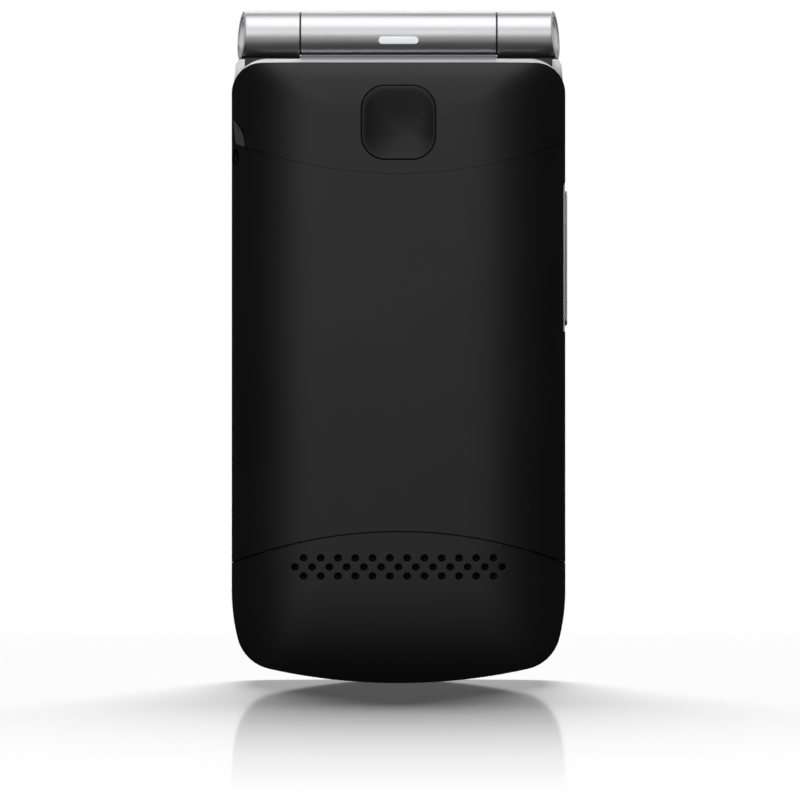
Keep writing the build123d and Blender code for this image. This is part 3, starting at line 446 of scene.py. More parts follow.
def shown(name: str, data: bpy.types.ID) -> bpy.types.Object:
    """Adds an object to the scene.

    Args:
        name: Its name.
        data: Its mesh, light, camera or text.

    Returns:
        The object.
    """
    made = bpy.data.objects.new(name, data)
    bpy.context.scene.collection.objects.link(made)
    return made


def evaluated(item: bpy.types.Object) -> bpy.types.Object:
    """Returns an object as its modifiers leave it."""
    return item.evaluated_get(bpy.context.evaluated_depsgraph_get())


class Cut(Enum):
    """How one closed mesh changes another."""

    AWAY = "DIFFERENCE"
    WITHIN = "INTERSECT"
    JOIN = "UNION"


def carve(body: BMesh, tool: BMesh, cut: Cut = Cut.AWAY) -> BMesh:
    """Changes a closed mesh by another. Both are used up.

    Args:
        body: The mesh to change.
        tool: The mesh that changes it.
        cut: What is done.

    Returns:
        The result.
    """
    pair = []
    for mesh in (body, tool):
        data = bpy.data.meshes.new("carving")
        mesh.to_mesh(data)
        mesh.free()
        pair.append(shown("carving", data))
    modifier = pair[0].modifiers.new("carving", "BOOLEAN")
    modifier.object = pair[1]
    modifier.operation = cut.value
    modifier.solver = "EXACT"
    result = bmesh.new()
    result.from_object(pair[0], bpy.context.evaluated_depsgraph_get())
    for item in pair:
        data = item.data
        bpy.data.objects.remove(item)
        bpy.data.meshes.remove(data)
    bmesh.ops.remove_doubles(result, verts=result.verts, dist=MERGE)
    return result


def rectangle(near: tuple[float, float], far: tuple[float, float]) -> Pen:
    """Draws a rectangle between two opposite corners, each given as x and z."""
    return Pen(*near).line(far[0], near[1]).line(*far).line(near[0], far[1])


def rounded_box(
    width: float, height: float, corner: float, x: float, z: float, near: float, far: float
) -> BMesh:
    """Makes a closed box with rounded corners, seen along Y.

    Args:
        width: Size along X.
        height: Size along Z.
        corner: Radius of the corners.
        x: Middle along X.
        z: Middle along Z.
        near: Depth of one face.
        far: Depth of the other.

    Returns:
        The closed mesh.
    """
    across, up = width / 2 - corner, height / 2 - corner
    pen = Pen(x + width / 2, z - up).line(x + width / 2, z + up).arc((x + across, z + up), 90, 12)
    pen.line(x - across, z + height / 2).arc((x - across, z + up), 90, 12)
    pen.line(x - width / 2, z - up).arc((x - across, z - up), 90, 12)
    pen.line(x + across, z - height / 2).arc((x + across, z - up), 90, 12)
    return pen.solid(near, far)


def bar(mesh: BMesh, radii: tuple[float, float], length: float, stand: Matrix, segments: int) -> None:
    """Adds a closed round bar to a mesh.

    Args:
        mesh: The mesh that receives it.
        radii: Its radii at the two ends.
        length: Its length.
        stand: Its place, with its Z axis along the bar.
        segments: Number of its sides.
    """
    bmesh.ops.create_cone(
        mesh, cap_ends=True, segments=segments, radius1=radii[0], radius2=radii[1], depth=length, matrix=stand
    )


def soften(mesh: BMesh, edges: Iterable[BMEdge], offset: float, segments: int) -> None:
    """Rounds some edges of a mesh.

    Args:
        mesh: The mesh.
        edges: The edges to round.
        offset: Width of the rounding on each side.
        segments: Number of faces across it.
    """
    bmesh.ops.bevel(
        mesh, geom=list(edges), offset=offset, offset_type="OFFSET", segments=segments, profile=0.5,
        affect="EDGES", clamp_overlap=True, material=-1,
    )


def at_depth(edge: BMEdge, level: float) -> bool:
    """Tells whether both ends of an edge lie at a depth."""
    return all(abs(vert.co.y - level) < TOUCH for vert in edge.verts)


def furthest(mesh: BMesh, way: Vector) -> BMFace:
    """Returns the face whose middle lies furthest in a direction."""
    return max(mesh.faces, key=lambda face: face.calc_center_median().dot(way))


def drills(
    places: Iterable[tuple[float, float]], diameter: float, near: float, far: float, segments: int = 20
) -> BMesh:
    """Makes round drills along Y.

    Args:
        places: Middle of each, as x and z.
        diameter: Their diameter.
        near: Depth of one end.
        far: Depth of the other.
        segments: Number of sides of each.

    Returns:
        One mesh with all of them.
    """
    mesh = bmesh.new()
    for x, z in places:
        stand = Matrix.Translation((x, (near + far) / 2, z)) @ Matrix.Rotation(math.radians(90), 4, "X")
        bar(mesh, (diameter / 2, diameter / 2), abs(far - near), stand, segments)
    return mesh


def egg(centre: Place, radii: Place) -> BMesh:
    """Makes an ellipsoid.

    Args:
        centre: Its middle.
        radii: Its radii along X, Y and Z.

    Returns:
        The closed mesh.
    """
    mesh = bmesh.new()
    stretch = Matrix.Translation(centre) @ Matrix.Diagonal((*radii, 1.0))
    bmesh.ops.create_uvsphere(mesh, u_segments=48, v_segments=32, radius=1.0, matrix=stretch)
    return mesh


def finished(
    mesh: BMesh, name: str, crease: float = 32.0, true_normal: Rule | None = None
) -> bpy.types.Object:
    """Turns a mesh in millimetres into an object of the scene, smooth except at its creases.

    Args:
        mesh: The mesh, which is used up.
        name: The object's name.
        crease: Least angle of an edge that stays sharp, in degrees.
        true_normal: Gives the exact normal at a point of a face, or nothing where it knows none.

    Returns:
        The object, at the origin.
    """
    bmesh.ops.scale(mesh, vec=(MM, MM, MM), verts=mesh.verts)
    data = bpy.data.meshes.new(name)
    mesh.to_mesh(data)
    mesh.free()
    data.shade_smooth()
    data.set_sharp_from_angle(angle=math.radians(crease))
    made = shown(name, data)
    evened = made.modifiers.new("even shading", "WEIGHTED_NORMAL")
    evened.keep_sharp = True
    if true_normal:
        shading = [corner.vector.copy() for corner in evaluated(made).to_mesh().corner_normals]
        for face in data.polygons:
            for corner in face.loop_indices:
                place = data.vertices[data.loops[corner].vertex_index].co / MM
                shading[corner] = true_normal(place, face.normal) or shading[corner]
        made.modifiers.remove(evened)
        data.normals_split_custom_set(shading)
    return made


@dataclass(frozen=True)
class Turned:
    """The round surfaces about one axis along X, whose normals are known exactly."""

    y: float
    z: float
    radii: tuple[float, ...]

    def normal(self, point: Vector, flat: Vector) -> Vector | None:
        """Finds the exact normal at a point of a face.

        Args:
            point: The point.
            flat: The face's own normal.

        Returns:
            The normal, or nothing off the surfaces.
        """
        arm = Vector((0.0, point.y - self.y, point.z - self.z))
        if not any(abs(arm.length - radius) < 0.03 for radius in self.radii):
            return None
        arm.normalize()
        aim = arm.dot(flat)
        return arm * math.copysign(1.0, aim) if abs(aim) > FACING else None


HINGE = Turned(1.55, 101.25, (3.85, 4.2))


def copied(node: str) -> BMesh:
    """Copies a CAD node's mesh with its loose triangles merged.

    Args:
        node: The node's name.

    Returns:
        The copy, in millimetres.
    """
    mesh = bmesh.new()
    mesh.from_mesh(frame["nodes"][node].data)
    bmesh.ops.scale(mesh, vec=(1 / MM, 1 / MM, 1 / MM), verts=mesh.verts)
    bmesh.ops.remove_doubles(mesh, verts=mesh.verts, dist=MERGE)
    bmesh.ops.dissolve_degenerate(mesh, dist=0.0002, edges=mesh.edges)
    return mesh


def dress(piece: bpy.types.Object, slot: str, body: str, *nodes: str, finish: str = "") -> bpy.types.Object:
    """Gives a new piece its finish, its body and the nodes it stands for.

    Args:
        piece: The finished object.
        slot: The record's material slot.
        body: The body it rides on.
        nodes: The CAD nodes that it replaces.
        finish: A finish other than the slot's own.

    Returns:
        The piece.
    """
    piece.data.materials.clear()
    piece.data.materials.append(material_of(FINISHES[finish or slot]))
    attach(piece, body)
    if nodes:
        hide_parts(*nodes)
    TALLY.info("%s rides on %s", piece.name, body)
    return piece


def body_of(node: str) -> str:
    """Returns the name of the body that carries a CAD node."""
    return frame["nodes"][node]["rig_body"]


# ---- Outlines of the closed body ----

@dataclass(frozen=True)
class Outlines:
    """The outlines that the shells share, seen along Y."""

    half_width: float = 26.0
    bottom_radius: float = 90.6
    ease_radius: float = 30.0
    ease_height: float = 14.4
    corner_radius: float = 6.5
    shell_corner: float = 4.6
    shell_top: float = 96.5
    lid_top: float = 97.05
    upper_seam_centre: float = 147.9
    upper_seam_radius: float = 68.7
    lower_seam_centre: float = -47.4
    lower_seam_radius: float = 71.0
    upper_share: float = 0.2
    recess_low: float = 54.9
    recess_high: float = 77.7
    recess_depth: float = 0.3
    recess_past: float = 0.3

    def foot(self, pen: Pen, inset: float) -> Pen:
        """Draws the rounded foot from the right flank round to the left one.

        Args:
            pen: A pen that stands on the right flank.
            inset: How far inside the body the outline runs.

        Returns:
            The pen, on the left flank at the height where the flank starts to turn in.
        """
        half, low = self.half_width, Vector((0.0, self.bottom_radius))
        ease = Vector((half - self.ease_radius, self.ease_height))
        near, far = self.bottom_radius - self.corner_radius, self.ease_radius - self.corner_radius
        corner = max(geometry.intersect_sphere_sphere_2d(low, near, ease, far), key=lambda point: point.x)
        first = math.degrees(math.atan2(corner.y - ease.y, corner.x - ease.x))
        second = math.degrees(math.atan2(corner.y - low.y, corner.x - low.x))
        pen.line(half - inset, self.ease_height)
        pen.arc((ease.x, ease.y), first, 6).arc((corner.x, corner.y), second - first, 16)
        pen.arc((0.0, low.y), -180 - 2 * second, 40).arc((-corner.x, corner.y), second - first, 16)
        return pen.arc((-ease.x, ease.y), first, 6)

    def head(self, pen: Pen, top: float, inset: float) -> Pen:
        """Draws the flat head with its two corners, from the right flank to the left one.

        Args:
            pen: A pen that stands on the right flank.
            top: Height of the head.
            inset: How far inside the body the corners run.

        Returns:
            The pen, on the left flank.
        """
        across, up = self.half_width - self.shell_corner, top - self.shell_corner
        radius = self.shell_corner - inset
        pen.line(across + radius, up).arc((across, up), 90, 14).line(-across, up + radius)
        return pen.arc((-across, up), 90, 14)

    def seam(self, pen: Pen, centre: float, radius: float, half: float, sign: int) -> Pen:
        """Draws a seam's arc.

        Args:
            pen: A pen that stands at one end of the seam.
            centre: Height of the arc's centre.
            radius: The arc's radius.
            half: Half of the width that the seam crosses.
            sign: 1 from the left flank to the right one, -1 back.

        Returns:
            The pen, at the seam's other end.
        """
        turn = 2 * math.degrees(math.asin(half / radius))
        return pen.arc((0.0, centre), sign * turn, 56)

    def upper_end(self, inset: float, land: float) -> Pen:
        """Draws the end of the back above the upper seam.

        Args:
            inset: How far inside the body the flanks run.
            land: How far inside the seam the outline stays.

        Returns:
            The pen that drew it.
        """
        half, radius = self.half_width - inset, self.upper_seam_radius - land
        level = self.upper_seam_centre - math.sqrt(radius**2 - half**2)
        pen = self.head(Pen(half, level), self.shell_top, inset).line(-half, level)
        return self.seam(pen, self.upper_seam_centre, radius, half, 1)

    def lower_end(self, inset: float, land: float) -> Pen:
        """Draws the end of the back below the lower seam.

        Args:
            inset: How far inside the body the flanks run.
            land: How far inside the seam the outline stays.

        Returns:
            The pen that drew it.
        """
        half, radius = self.half_width - inset, self.lower_seam_radius - land
        level = self.lower_seam_centre + math.sqrt(radius**2 - half**2)
        pen = self.foot(Pen(half, level), inset).line(-half, level)
        return self.seam(pen, self.lower_seam_centre, radius, half, -1)

    def cover(self, inset: float, land: float) -> Pen:
        """Draws the battery cover between the seams.

        Args:
            inset: How far inside the body the flanks run.
            land: How far inside the lower seam the outline stays. The upper one gets a share of it.

        Returns:
            The pen that drew it.
        """
        half, lower = self.half_width - inset, self.lower_seam_radius + land
        upper = self.upper_seam_radius + (land if land < 0 else self.upper_share * land)
        high = self.upper_seam_centre - math.sqrt(upper**2 - half**2)
        low = self.lower_seam_centre + math.sqrt(lower**2 - half**2)
        pen = Pen(half, high).line(half, low)
        self.seam(pen, self.lower_seam_centre, lower, half, 1).line(-half, high)
        return self.seam(pen, self.upper_seam_centre, upper, half, 1)

    def recess(self) -> Pen:
        """Draws the shallow recess in the right flank, beside the volume key.

        Returns:
            The pen that drew it.
        """
        floor, past = self.half_width - self.recess_depth, self.recess_depth + self.recess_past
        pen = Pen(floor, self.recess_low).line(floor + past, self.recess_low - past)
        return pen.line(floor + past, self.recess_high + past).line(floor, self.recess_high)

    def lid(self, inset: float, land: float) -> Pen:
        """Draws the whole lid.

        Args:
            inset: How far inside the body it stays.
            land: A further amount inside.

        Returns:
            The pen that drew it.
        """
        inset += land
        pen = self.foot(Pen(self.half_width - inset, self.shell_top / 2), inset)
        pen.line(inset - self.half_width, self.lid_top - self.shell_corner)
        pen.arc((self.shell_corner - self.half_width, self.lid_top - self.shell_corner), -90, 14)
        pen.line(self.half_width - self.shell_corner, self.lid_top - inset)
        return pen.arc((self.half_width - self.shell_corner, self.lid_top - self.shell_corner), -90, 14)


@dataclass(frozen=True)
class Slope:
    """A fall that starts at a place and steepens without a visible start."""

    start: float
    length: float
    depth: float
    power: float = 3.0

    def fall(self, reach: float) -> float:
        """Returns the depth at a distance past the start."""
        return self.depth * (max(reach, 0.0) / self.length) ** self.power


@dataclass(frozen=True)
class Crown:
    """How a skin falls away towards its flanks, its foot and its head."""

    side: Slope
    foot: Slope
    head: Slope
    fine_step: float = 0.8
    coarse_step: float = 1.1
    probe: float = 0.05

    def drop(self, x: float, z: float) -> float:
        """Measures how far the skin lies below its highest plane.

        Args:
            x: The place along X.
            z: The place along Z.

        Returns:
            The depth.
        """
        return math.hypot(
            self.side.fall(abs(x) - self.side.start),
            self.foot.fall(self.foot.start - z),
            self.head.fall(z - self.head.start),
        )

    def normal(self, x: float, z: float, out: float) -> Vector:
        """Finds the skin's normal.

        Args:
            x: The place along X.
            z: The place along Z.
            out: The sign of the skin's outside along Y.

        Returns:
            The normal.
        """
        step = self.probe
        across = (self.drop(x + step, z) - self.drop(x - step, z)) / (2 * step)
        up = (self.drop(x, z + step) - self.drop(x, z - step)) / (2 * step)
        return Vector((across, out, up)).normalized()

    def lines(self, low: float, high: float, half: float) -> list[tuple[Vector, Vector]]:
        """Lists the planes that divide the curved parts of a skin.

        Args:
            low: Lowest height of the skin.
            high: Greatest height of the skin.
            half: Half of its width.

        Returns:
            A point and a normal of each plane.
        """
        fine, coarse = self.fine_step, self.coarse_step
        across = [self.side.start + fine * step for step in range(int((half - self.side.start) / fine) + 1)]
        planes = [(Vector((side * x, 0, 0)), Vector((1, 0, 0))) for x in across for side in SIDES]
        up = [self.foot.start - coarse * step for step in range(int(self.foot.start / coarse) + 1)]
        up += [self.head.start + fine * step for step in range(int((high - self.head.start) / fine) + 1)]
        planes += [(Vector((0, 0, z)), Vector((0, 0, 1))) for z in up if low < z < high]
        return planes

    def press(self, mesh: BMesh, skin: float, mouth: float, keep: float) -> None:
        """Divides a flat slab and lowers its skin to the crown.

        Args:
            mesh: The slab.
            skin: Depth of its skin.
            mouth: Depth of its open side, which stays.
            keep: Thickness under the skin that moves as one.
        """
        heights = [vert.co.z for vert in mesh.verts]
        half = max(vert.co.x for vert in mesh.verts)
        for point, normal in self.lines(min(heights), max(heights), half):
            everything = mesh.verts[:] + mesh.edges[:] + mesh.faces[:]
            bmesh.ops.bisect_plane(mesh, geom=everything, dist=MERGE, plane_co=point, plane_no=normal)
        inward = math.copysign(1.0, mouth - skin)
        span = abs(mouth - skin) - keep
        for vert in mesh.verts:
            left = min(abs(mouth - vert.co.y) / span, 1.0)
            vert.co.y += inward * left * self.drop(vert.co.x, vert.co.z)


BACK_CROWN = Crown(Slope(9.0, 17.0, 5.417), Slope(19.0, 19.0, 4.31), Slope(88.0, 8.5, 1.6))
LID_CROWN = Crown(Slope(11.0, 15.0, 2.62), Slope(15.0, 15.0, 2.5), Slope(86.0, 11.05, 1.38))


# ---- Shells ----

@dataclass
class Shell:
    """One moulded shell: a slab hollowed from its open side, softened at its edges and crowned."""

    name: str
    draw: Callable[[float, float], Pen]
    crown: Crown
    skin: float
    mouth: float
    wall: float
    inset: float = 0.0
    land: float = 0.0
    pocket_land: float = 1.2
    rim: float = 1.2
    rim_steps: int = 6
    seam_edge: float = 0.1
    hole_edge: float = 0.12
    keep: float = 0.1
    sharp: float = 0.6
    seams: tuple[tuple[float, float], ...] = ()
    holes: list[BMesh] = field(default_factory=list)
    hole_zone: Callable[[float, float], bool] = lambda x, z: False
    scoops: list[BMesh] = field(default_factory=list)

    def on_seam(self, edge: BMEdge) -> bool:
        """Tells whether both ends of an edge lie on one of the shell's seams.

        Args:
            edge: The edge.

        Returns:
            True where they do.
        """
        return any(
            all(abs(math.hypot(vert.co.x, vert.co.z - centre) - radius) < 0.02 for vert in edge.verts)
            for centre, radius in self.seams
        )

    def at_hole(self, edge: BMEdge) -> bool:
        """Tells whether the middle of an edge lies in the zone of the holes."""
        near, far = (vert.co for vert in edge.verts)
        return self.hole_zone((near.x + far.x) / 2, (near.z + far.z) / 2)

    def normal(self, point: Vector, flat: Vector) -> Vector | None:
        """Finds the skin's exact normal at a point of a face.

        Args:
            point: The point.
            flat: The face's own normal.

        Returns:
            The normal, or nothing off the skin.
        """
        out = math.copysign(1.0, self.skin - self.mouth)
        level = self.skin - out * self.crown.drop(point.x, point.z)
        aim = self.crown.normal(point.x, point.z, out)
        return aim if abs(point.y - level) < 0.004 and aim.dot(flat) > FACING else None

    def slab(self) -> BMesh:
        """Builds the flat slab with its pocket and its holes.

        Returns:
            Its closed mesh, with no face of more than four corners.
        """
        inward = math.copysign(1.0, self.mouth - self.skin)
        body = self.draw(self.inset, self.land).solid(self.skin, self.mouth)
        floor = self.skin + inward * self.wall
        pocket = self.draw(self.inset + self.wall, self.pocket_land).solid(floor, self.mouth + inward)
        for waste in (pocket, *self.holes):
            body = carve(body, waste)
        bmesh.ops.triangulate(body, faces=[face for face in body.faces if len(face.verts) > 4])
        return body

    def mesh(self) -> BMesh:
        """Builds the shell.

        Returns:
            Its closed mesh.
        """
        body = self.slab()
        holes = [edge for edge in self.sharp_edges(body) if at_depth(edge, self.skin) and self.at_hole(edge)]
        if holes:
            soften(body, holes, self.hole_edge, 2)
        rim = [
            edge for edge in self.sharp_edges(body)
            if at_depth(edge, self.skin) and not self.on_seam(edge) and not self.at_hole(edge)
        ]
        soften(body, rim, self.rim, self.rim_steps)
        seam = [
            edge for edge in self.sharp_edges(body) if self.on_seam(edge) and not at_depth(edge, self.mouth)
        ]
        if seam:
            soften(body, seam, self.seam_edge, 2)
        self.crown.press(body, self.skin, self.mouth, self.wall + self.keep)
        for scoop in self.scoops:
            body = carve(body, scoop)
        return body

    def sharp_edges(self, body: BMesh) -> list[BMEdge]:
        """Returns the edges whose faces meet at a clear angle."""
        return [edge for edge in body.edges if edge.calc_face_angle(0.0) > self.sharp]

    def place(self, body: str, node: str) -> None:
        """Adds the shell to the scene, on a body and for a CAD node."""
        dress(finished(self.mesh(), self.name, true_normal=self.normal), "shell_black", body, node)


@dataclass
class Back:
    """The base's back: its two ends, the battery cover and the deck below it."""

    outlines: Outlines = Outlines()
    crown: Crown = BACK_CROWN
    skin: float = -9.8
    mouth: float = -1.6
    wall: float = 1.3
    past: float = 1.0
    deep: float = 3.0
    cover_wall: float = 1.2
    cover_gap: float = 0.15
    cover_edge: float = 0.12
    button_size: float = 11.68
    button_corner: float = 3.8
    button_height: float = 87.1
    grille_height: float = 18.16
    grille_pitch: float = 2.68
    grille_row: float = 1.4
    grille_hole: float = 1.12
    grille_half: float = 6.8
    scoop_floor: Place = (-29.25, -5.0, 83.8)
    scoop_radius: float = 5.25
    scoop_mouth: float = 7.2
    scoop_height: float = 8.0
    scoop_lean: float = 6.0
    slot_centre: Place = (-25.42, -5.5, 81.8)
    slot_radii: Place = (0.62, 2.4, 1.5)

    def in_button(self, x: float, z: float) -> bool:
        """Tells whether a place lies within the emergency button's opening."""
        return max(abs(x), abs(z - self.button_height)) < self.button_size / 2 + 0.05

    def in_grille(self, x: float, z: float) -> bool:
        """Tells whether a place lies within the grille."""
        half = self.grille_half * self.grille_pitch
        return abs(x) < half and abs(z - self.grille_height) < 2 * self.grille_row

    def scoop(self) -> BMesh:
        """Builds the waste of the thumb scoop, whose floor leans a little upwards.

        Returns:
            The closed mesh.
        """
        mesh = bmesh.new()
        lean = Matrix.Rotation(math.radians(90 - self.scoop_lean), 4, "X")
        lift = Matrix.Translation((0.0, 0.0, self.scoop_height / 2))
        stand = Matrix.Translation(self.scoop_floor) @ lean @ lift
        bar(mesh, (self.scoop_radius, self.scoop_mouth), self.scoop_height, stand, 128)
        return mesh

    def upper(self) -> None:
        """Builds the end with the emergency button's opening."""
        size, over, under = self.button_size, self.skin - self.past, self.skin + self.deep
        opening = rounded_box(size, size, self.button_corner, 0.0, self.button_height, over, under)
        Shell(
            "back_upper_end", self.outlines.upper_end, self.crown, self.skin, self.mouth, self.wall,
            seams=((self.outlines.upper_seam_centre, self.outlines.upper_seam_radius),),
            holes=[opening], hole_zone=self.in_button, hole_edge=0.08, seam_edge=0.03,
            scoops=[self.scoop()],
        ).place("base", "rear_housing")

    def lower(self) -> None:
        """Builds the end with the loudspeaker's grille."""
        rows = [(column * self.grille_pitch, self.grille_height) for column in range(-6, 7)]
        for side in SIDES:
            level = self.grille_height + side * self.grille_row
            rows += [((column + 0.5) * self.grille_pitch, level) for column in range(-6, 6)]
        grille = drills(rows, self.grille_hole, self.skin - self.past, self.skin + self.deep)
        Shell(
            "back_lower_end", self.outlines.lower_end, self.crown, self.skin, self.mouth, self.wall,
            seams=((self.outlines.lower_seam_centre, self.outlines.lower_seam_radius),),
            holes=[grille], hole_zone=self.in_grille,
        ).place("base", "rear_housing")

    def cover(self) -> None:
        """Builds the battery cover."""
        lines, gap = self.outlines, self.cover_gap
        Shell(
            "battery_cover_skin", lines.cover, self.crown, self.skin, self.mouth - gap, self.cover_wall,
            land=gap, pocket_land=-1.0, seam_edge=0.15, rim=self.cover_edge, rim_steps=3,
            seams=(
                (lines.upper_seam_centre, lines.upper_seam_radius + gap * lines.upper_share),
                (lines.lower_seam_centre, lines.lower_seam_radius + gap),
            ),
            scoops=[egg(self.slot_centre, self.slot_radii), lines.recess().solid(self.skin - self.past, 0.0)],
        ).place("battery_cover", "battery_cover")

    def deck(self) -> None:
        """Builds the battery bay's deck from the part of the housing between the seams."""
        band = self.outlines.cover(0.0, 0.0).solid(self.skin - self.past, self.mouth + 1)
        deck = finished(carve(copied("rear_housing"), band, Cut.WITHIN), "battery_deck")
        dress(deck, "shell_black", "base", "rear_housing")

    def build(self) -> None:
        """Builds every piece of the back."""
        self.upper()
        self.lower()
        self.cover()
        self.deck()


@dataclass
class EmergencyButton:
    """The dished square button on the back."""

    crown: Crown = BACK_CROWN
    size: float = 11.4
    corner: float = 3.66
    height: float = 87.1
    face: float = -9.75
    foot: float = -8.45
    edge: float = 0.09
    rim: float = 0.12
    depth: float = 0.75
    rings: int = 14
    cuts: int = 7
    deepest: tuple[float, float] = (1.0, -1.3)
    moved: float = 0.5
    flange: float = 13.2
    flange_corner: float = 0.8
    flange_depth: float = 0.5
    stem_diameter: float = 3.0
    stem_root: float = 0.2
    stem_end: float = -3.9

    def block(self) -> BMesh:
        """Builds the flat button, with points along its straight edges and its front edge rounded.

        Returns:
            The closed mesh.
        """
        mesh = rounded_box(self.size, self.size, self.corner, 0.0, self.height, self.face, self.foot)
        level = [edge for edge in mesh.edges if abs(edge.verts[0].co.y - edge.verts[1].co.y) < 0.01]
        straight = [edge for edge in level if edge.calc_length() > 2]
        bmesh.ops.subdivide_edges(mesh, edges=straight, cuts=self.cuts)
        soften(mesh, furthest(mesh, TO_VIEWER).edges, self.edge, 2)
        return mesh

    def dish(self, mesh: BMesh) -> None:
        """Sinks the front face ring by ring.

        Args:
            mesh: The flat button.
        """
        face = furthest(mesh, TO_VIEWER)
        past, sunk = 1.0, 0.0
        for step in range(self.rings):
            reach = 1 - step / self.rings
            size = reach * (1 - 2 * self.rim / self.size)
            made = bmesh.ops.extrude_face_region(mesh, geom=[face])["geom"]
            bmesh.ops.delete(mesh, geom=[face], context="FACES_ONLY")
            face = next(item for item in made if isinstance(item, BMFace))
            level = self.depth * (1 - reach**2)
            shift = Vector((self.deepest[0], 0.0, self.deepest[1])) * (step / self.rings)
            centre = Matrix.Translation(-shift - Vector((0.0, 0.0, self.height)))
            bmesh.ops.scale(mesh, vec=(size / past, 1.0, size / past), verts=face.verts, space=centre)
            step_on = Vector((self.deepest[0] / self.rings, level - sunk, self.deepest[1] / self.rings))
            bmesh.ops.translate(mesh, vec=step_on, verts=face.verts)
            past, sunk = size, level

    def build(self) -> None:
        """Builds the button with its flange and stem."""
        mesh = self.block()
        self.dish(mesh)
        for vert in mesh.verts:
            left = min(max(self.foot - vert.co.y, 0.0) / self.moved, 1.0)
            vert.co.y += left * self.crown.drop(vert.co.x, vert.co.z)
        corner, under = self.corner + self.flange_corner, self.foot + self.flange_depth
        flange = rounded_box(self.flange, self.flange, corner, 0.0, self.height, self.foot, under)
        stem = drills([(0.0, self.height)], self.stem_diameter, self.foot + self.stem_root, self.stem_end)
        mesh = carve(carve(mesh, flange, Cut.JOIN), stem, Cut.JOIN)
        dress(finished(mesh, "emergency_button", 50.0), "button_black", "sos_button", "sos_button")


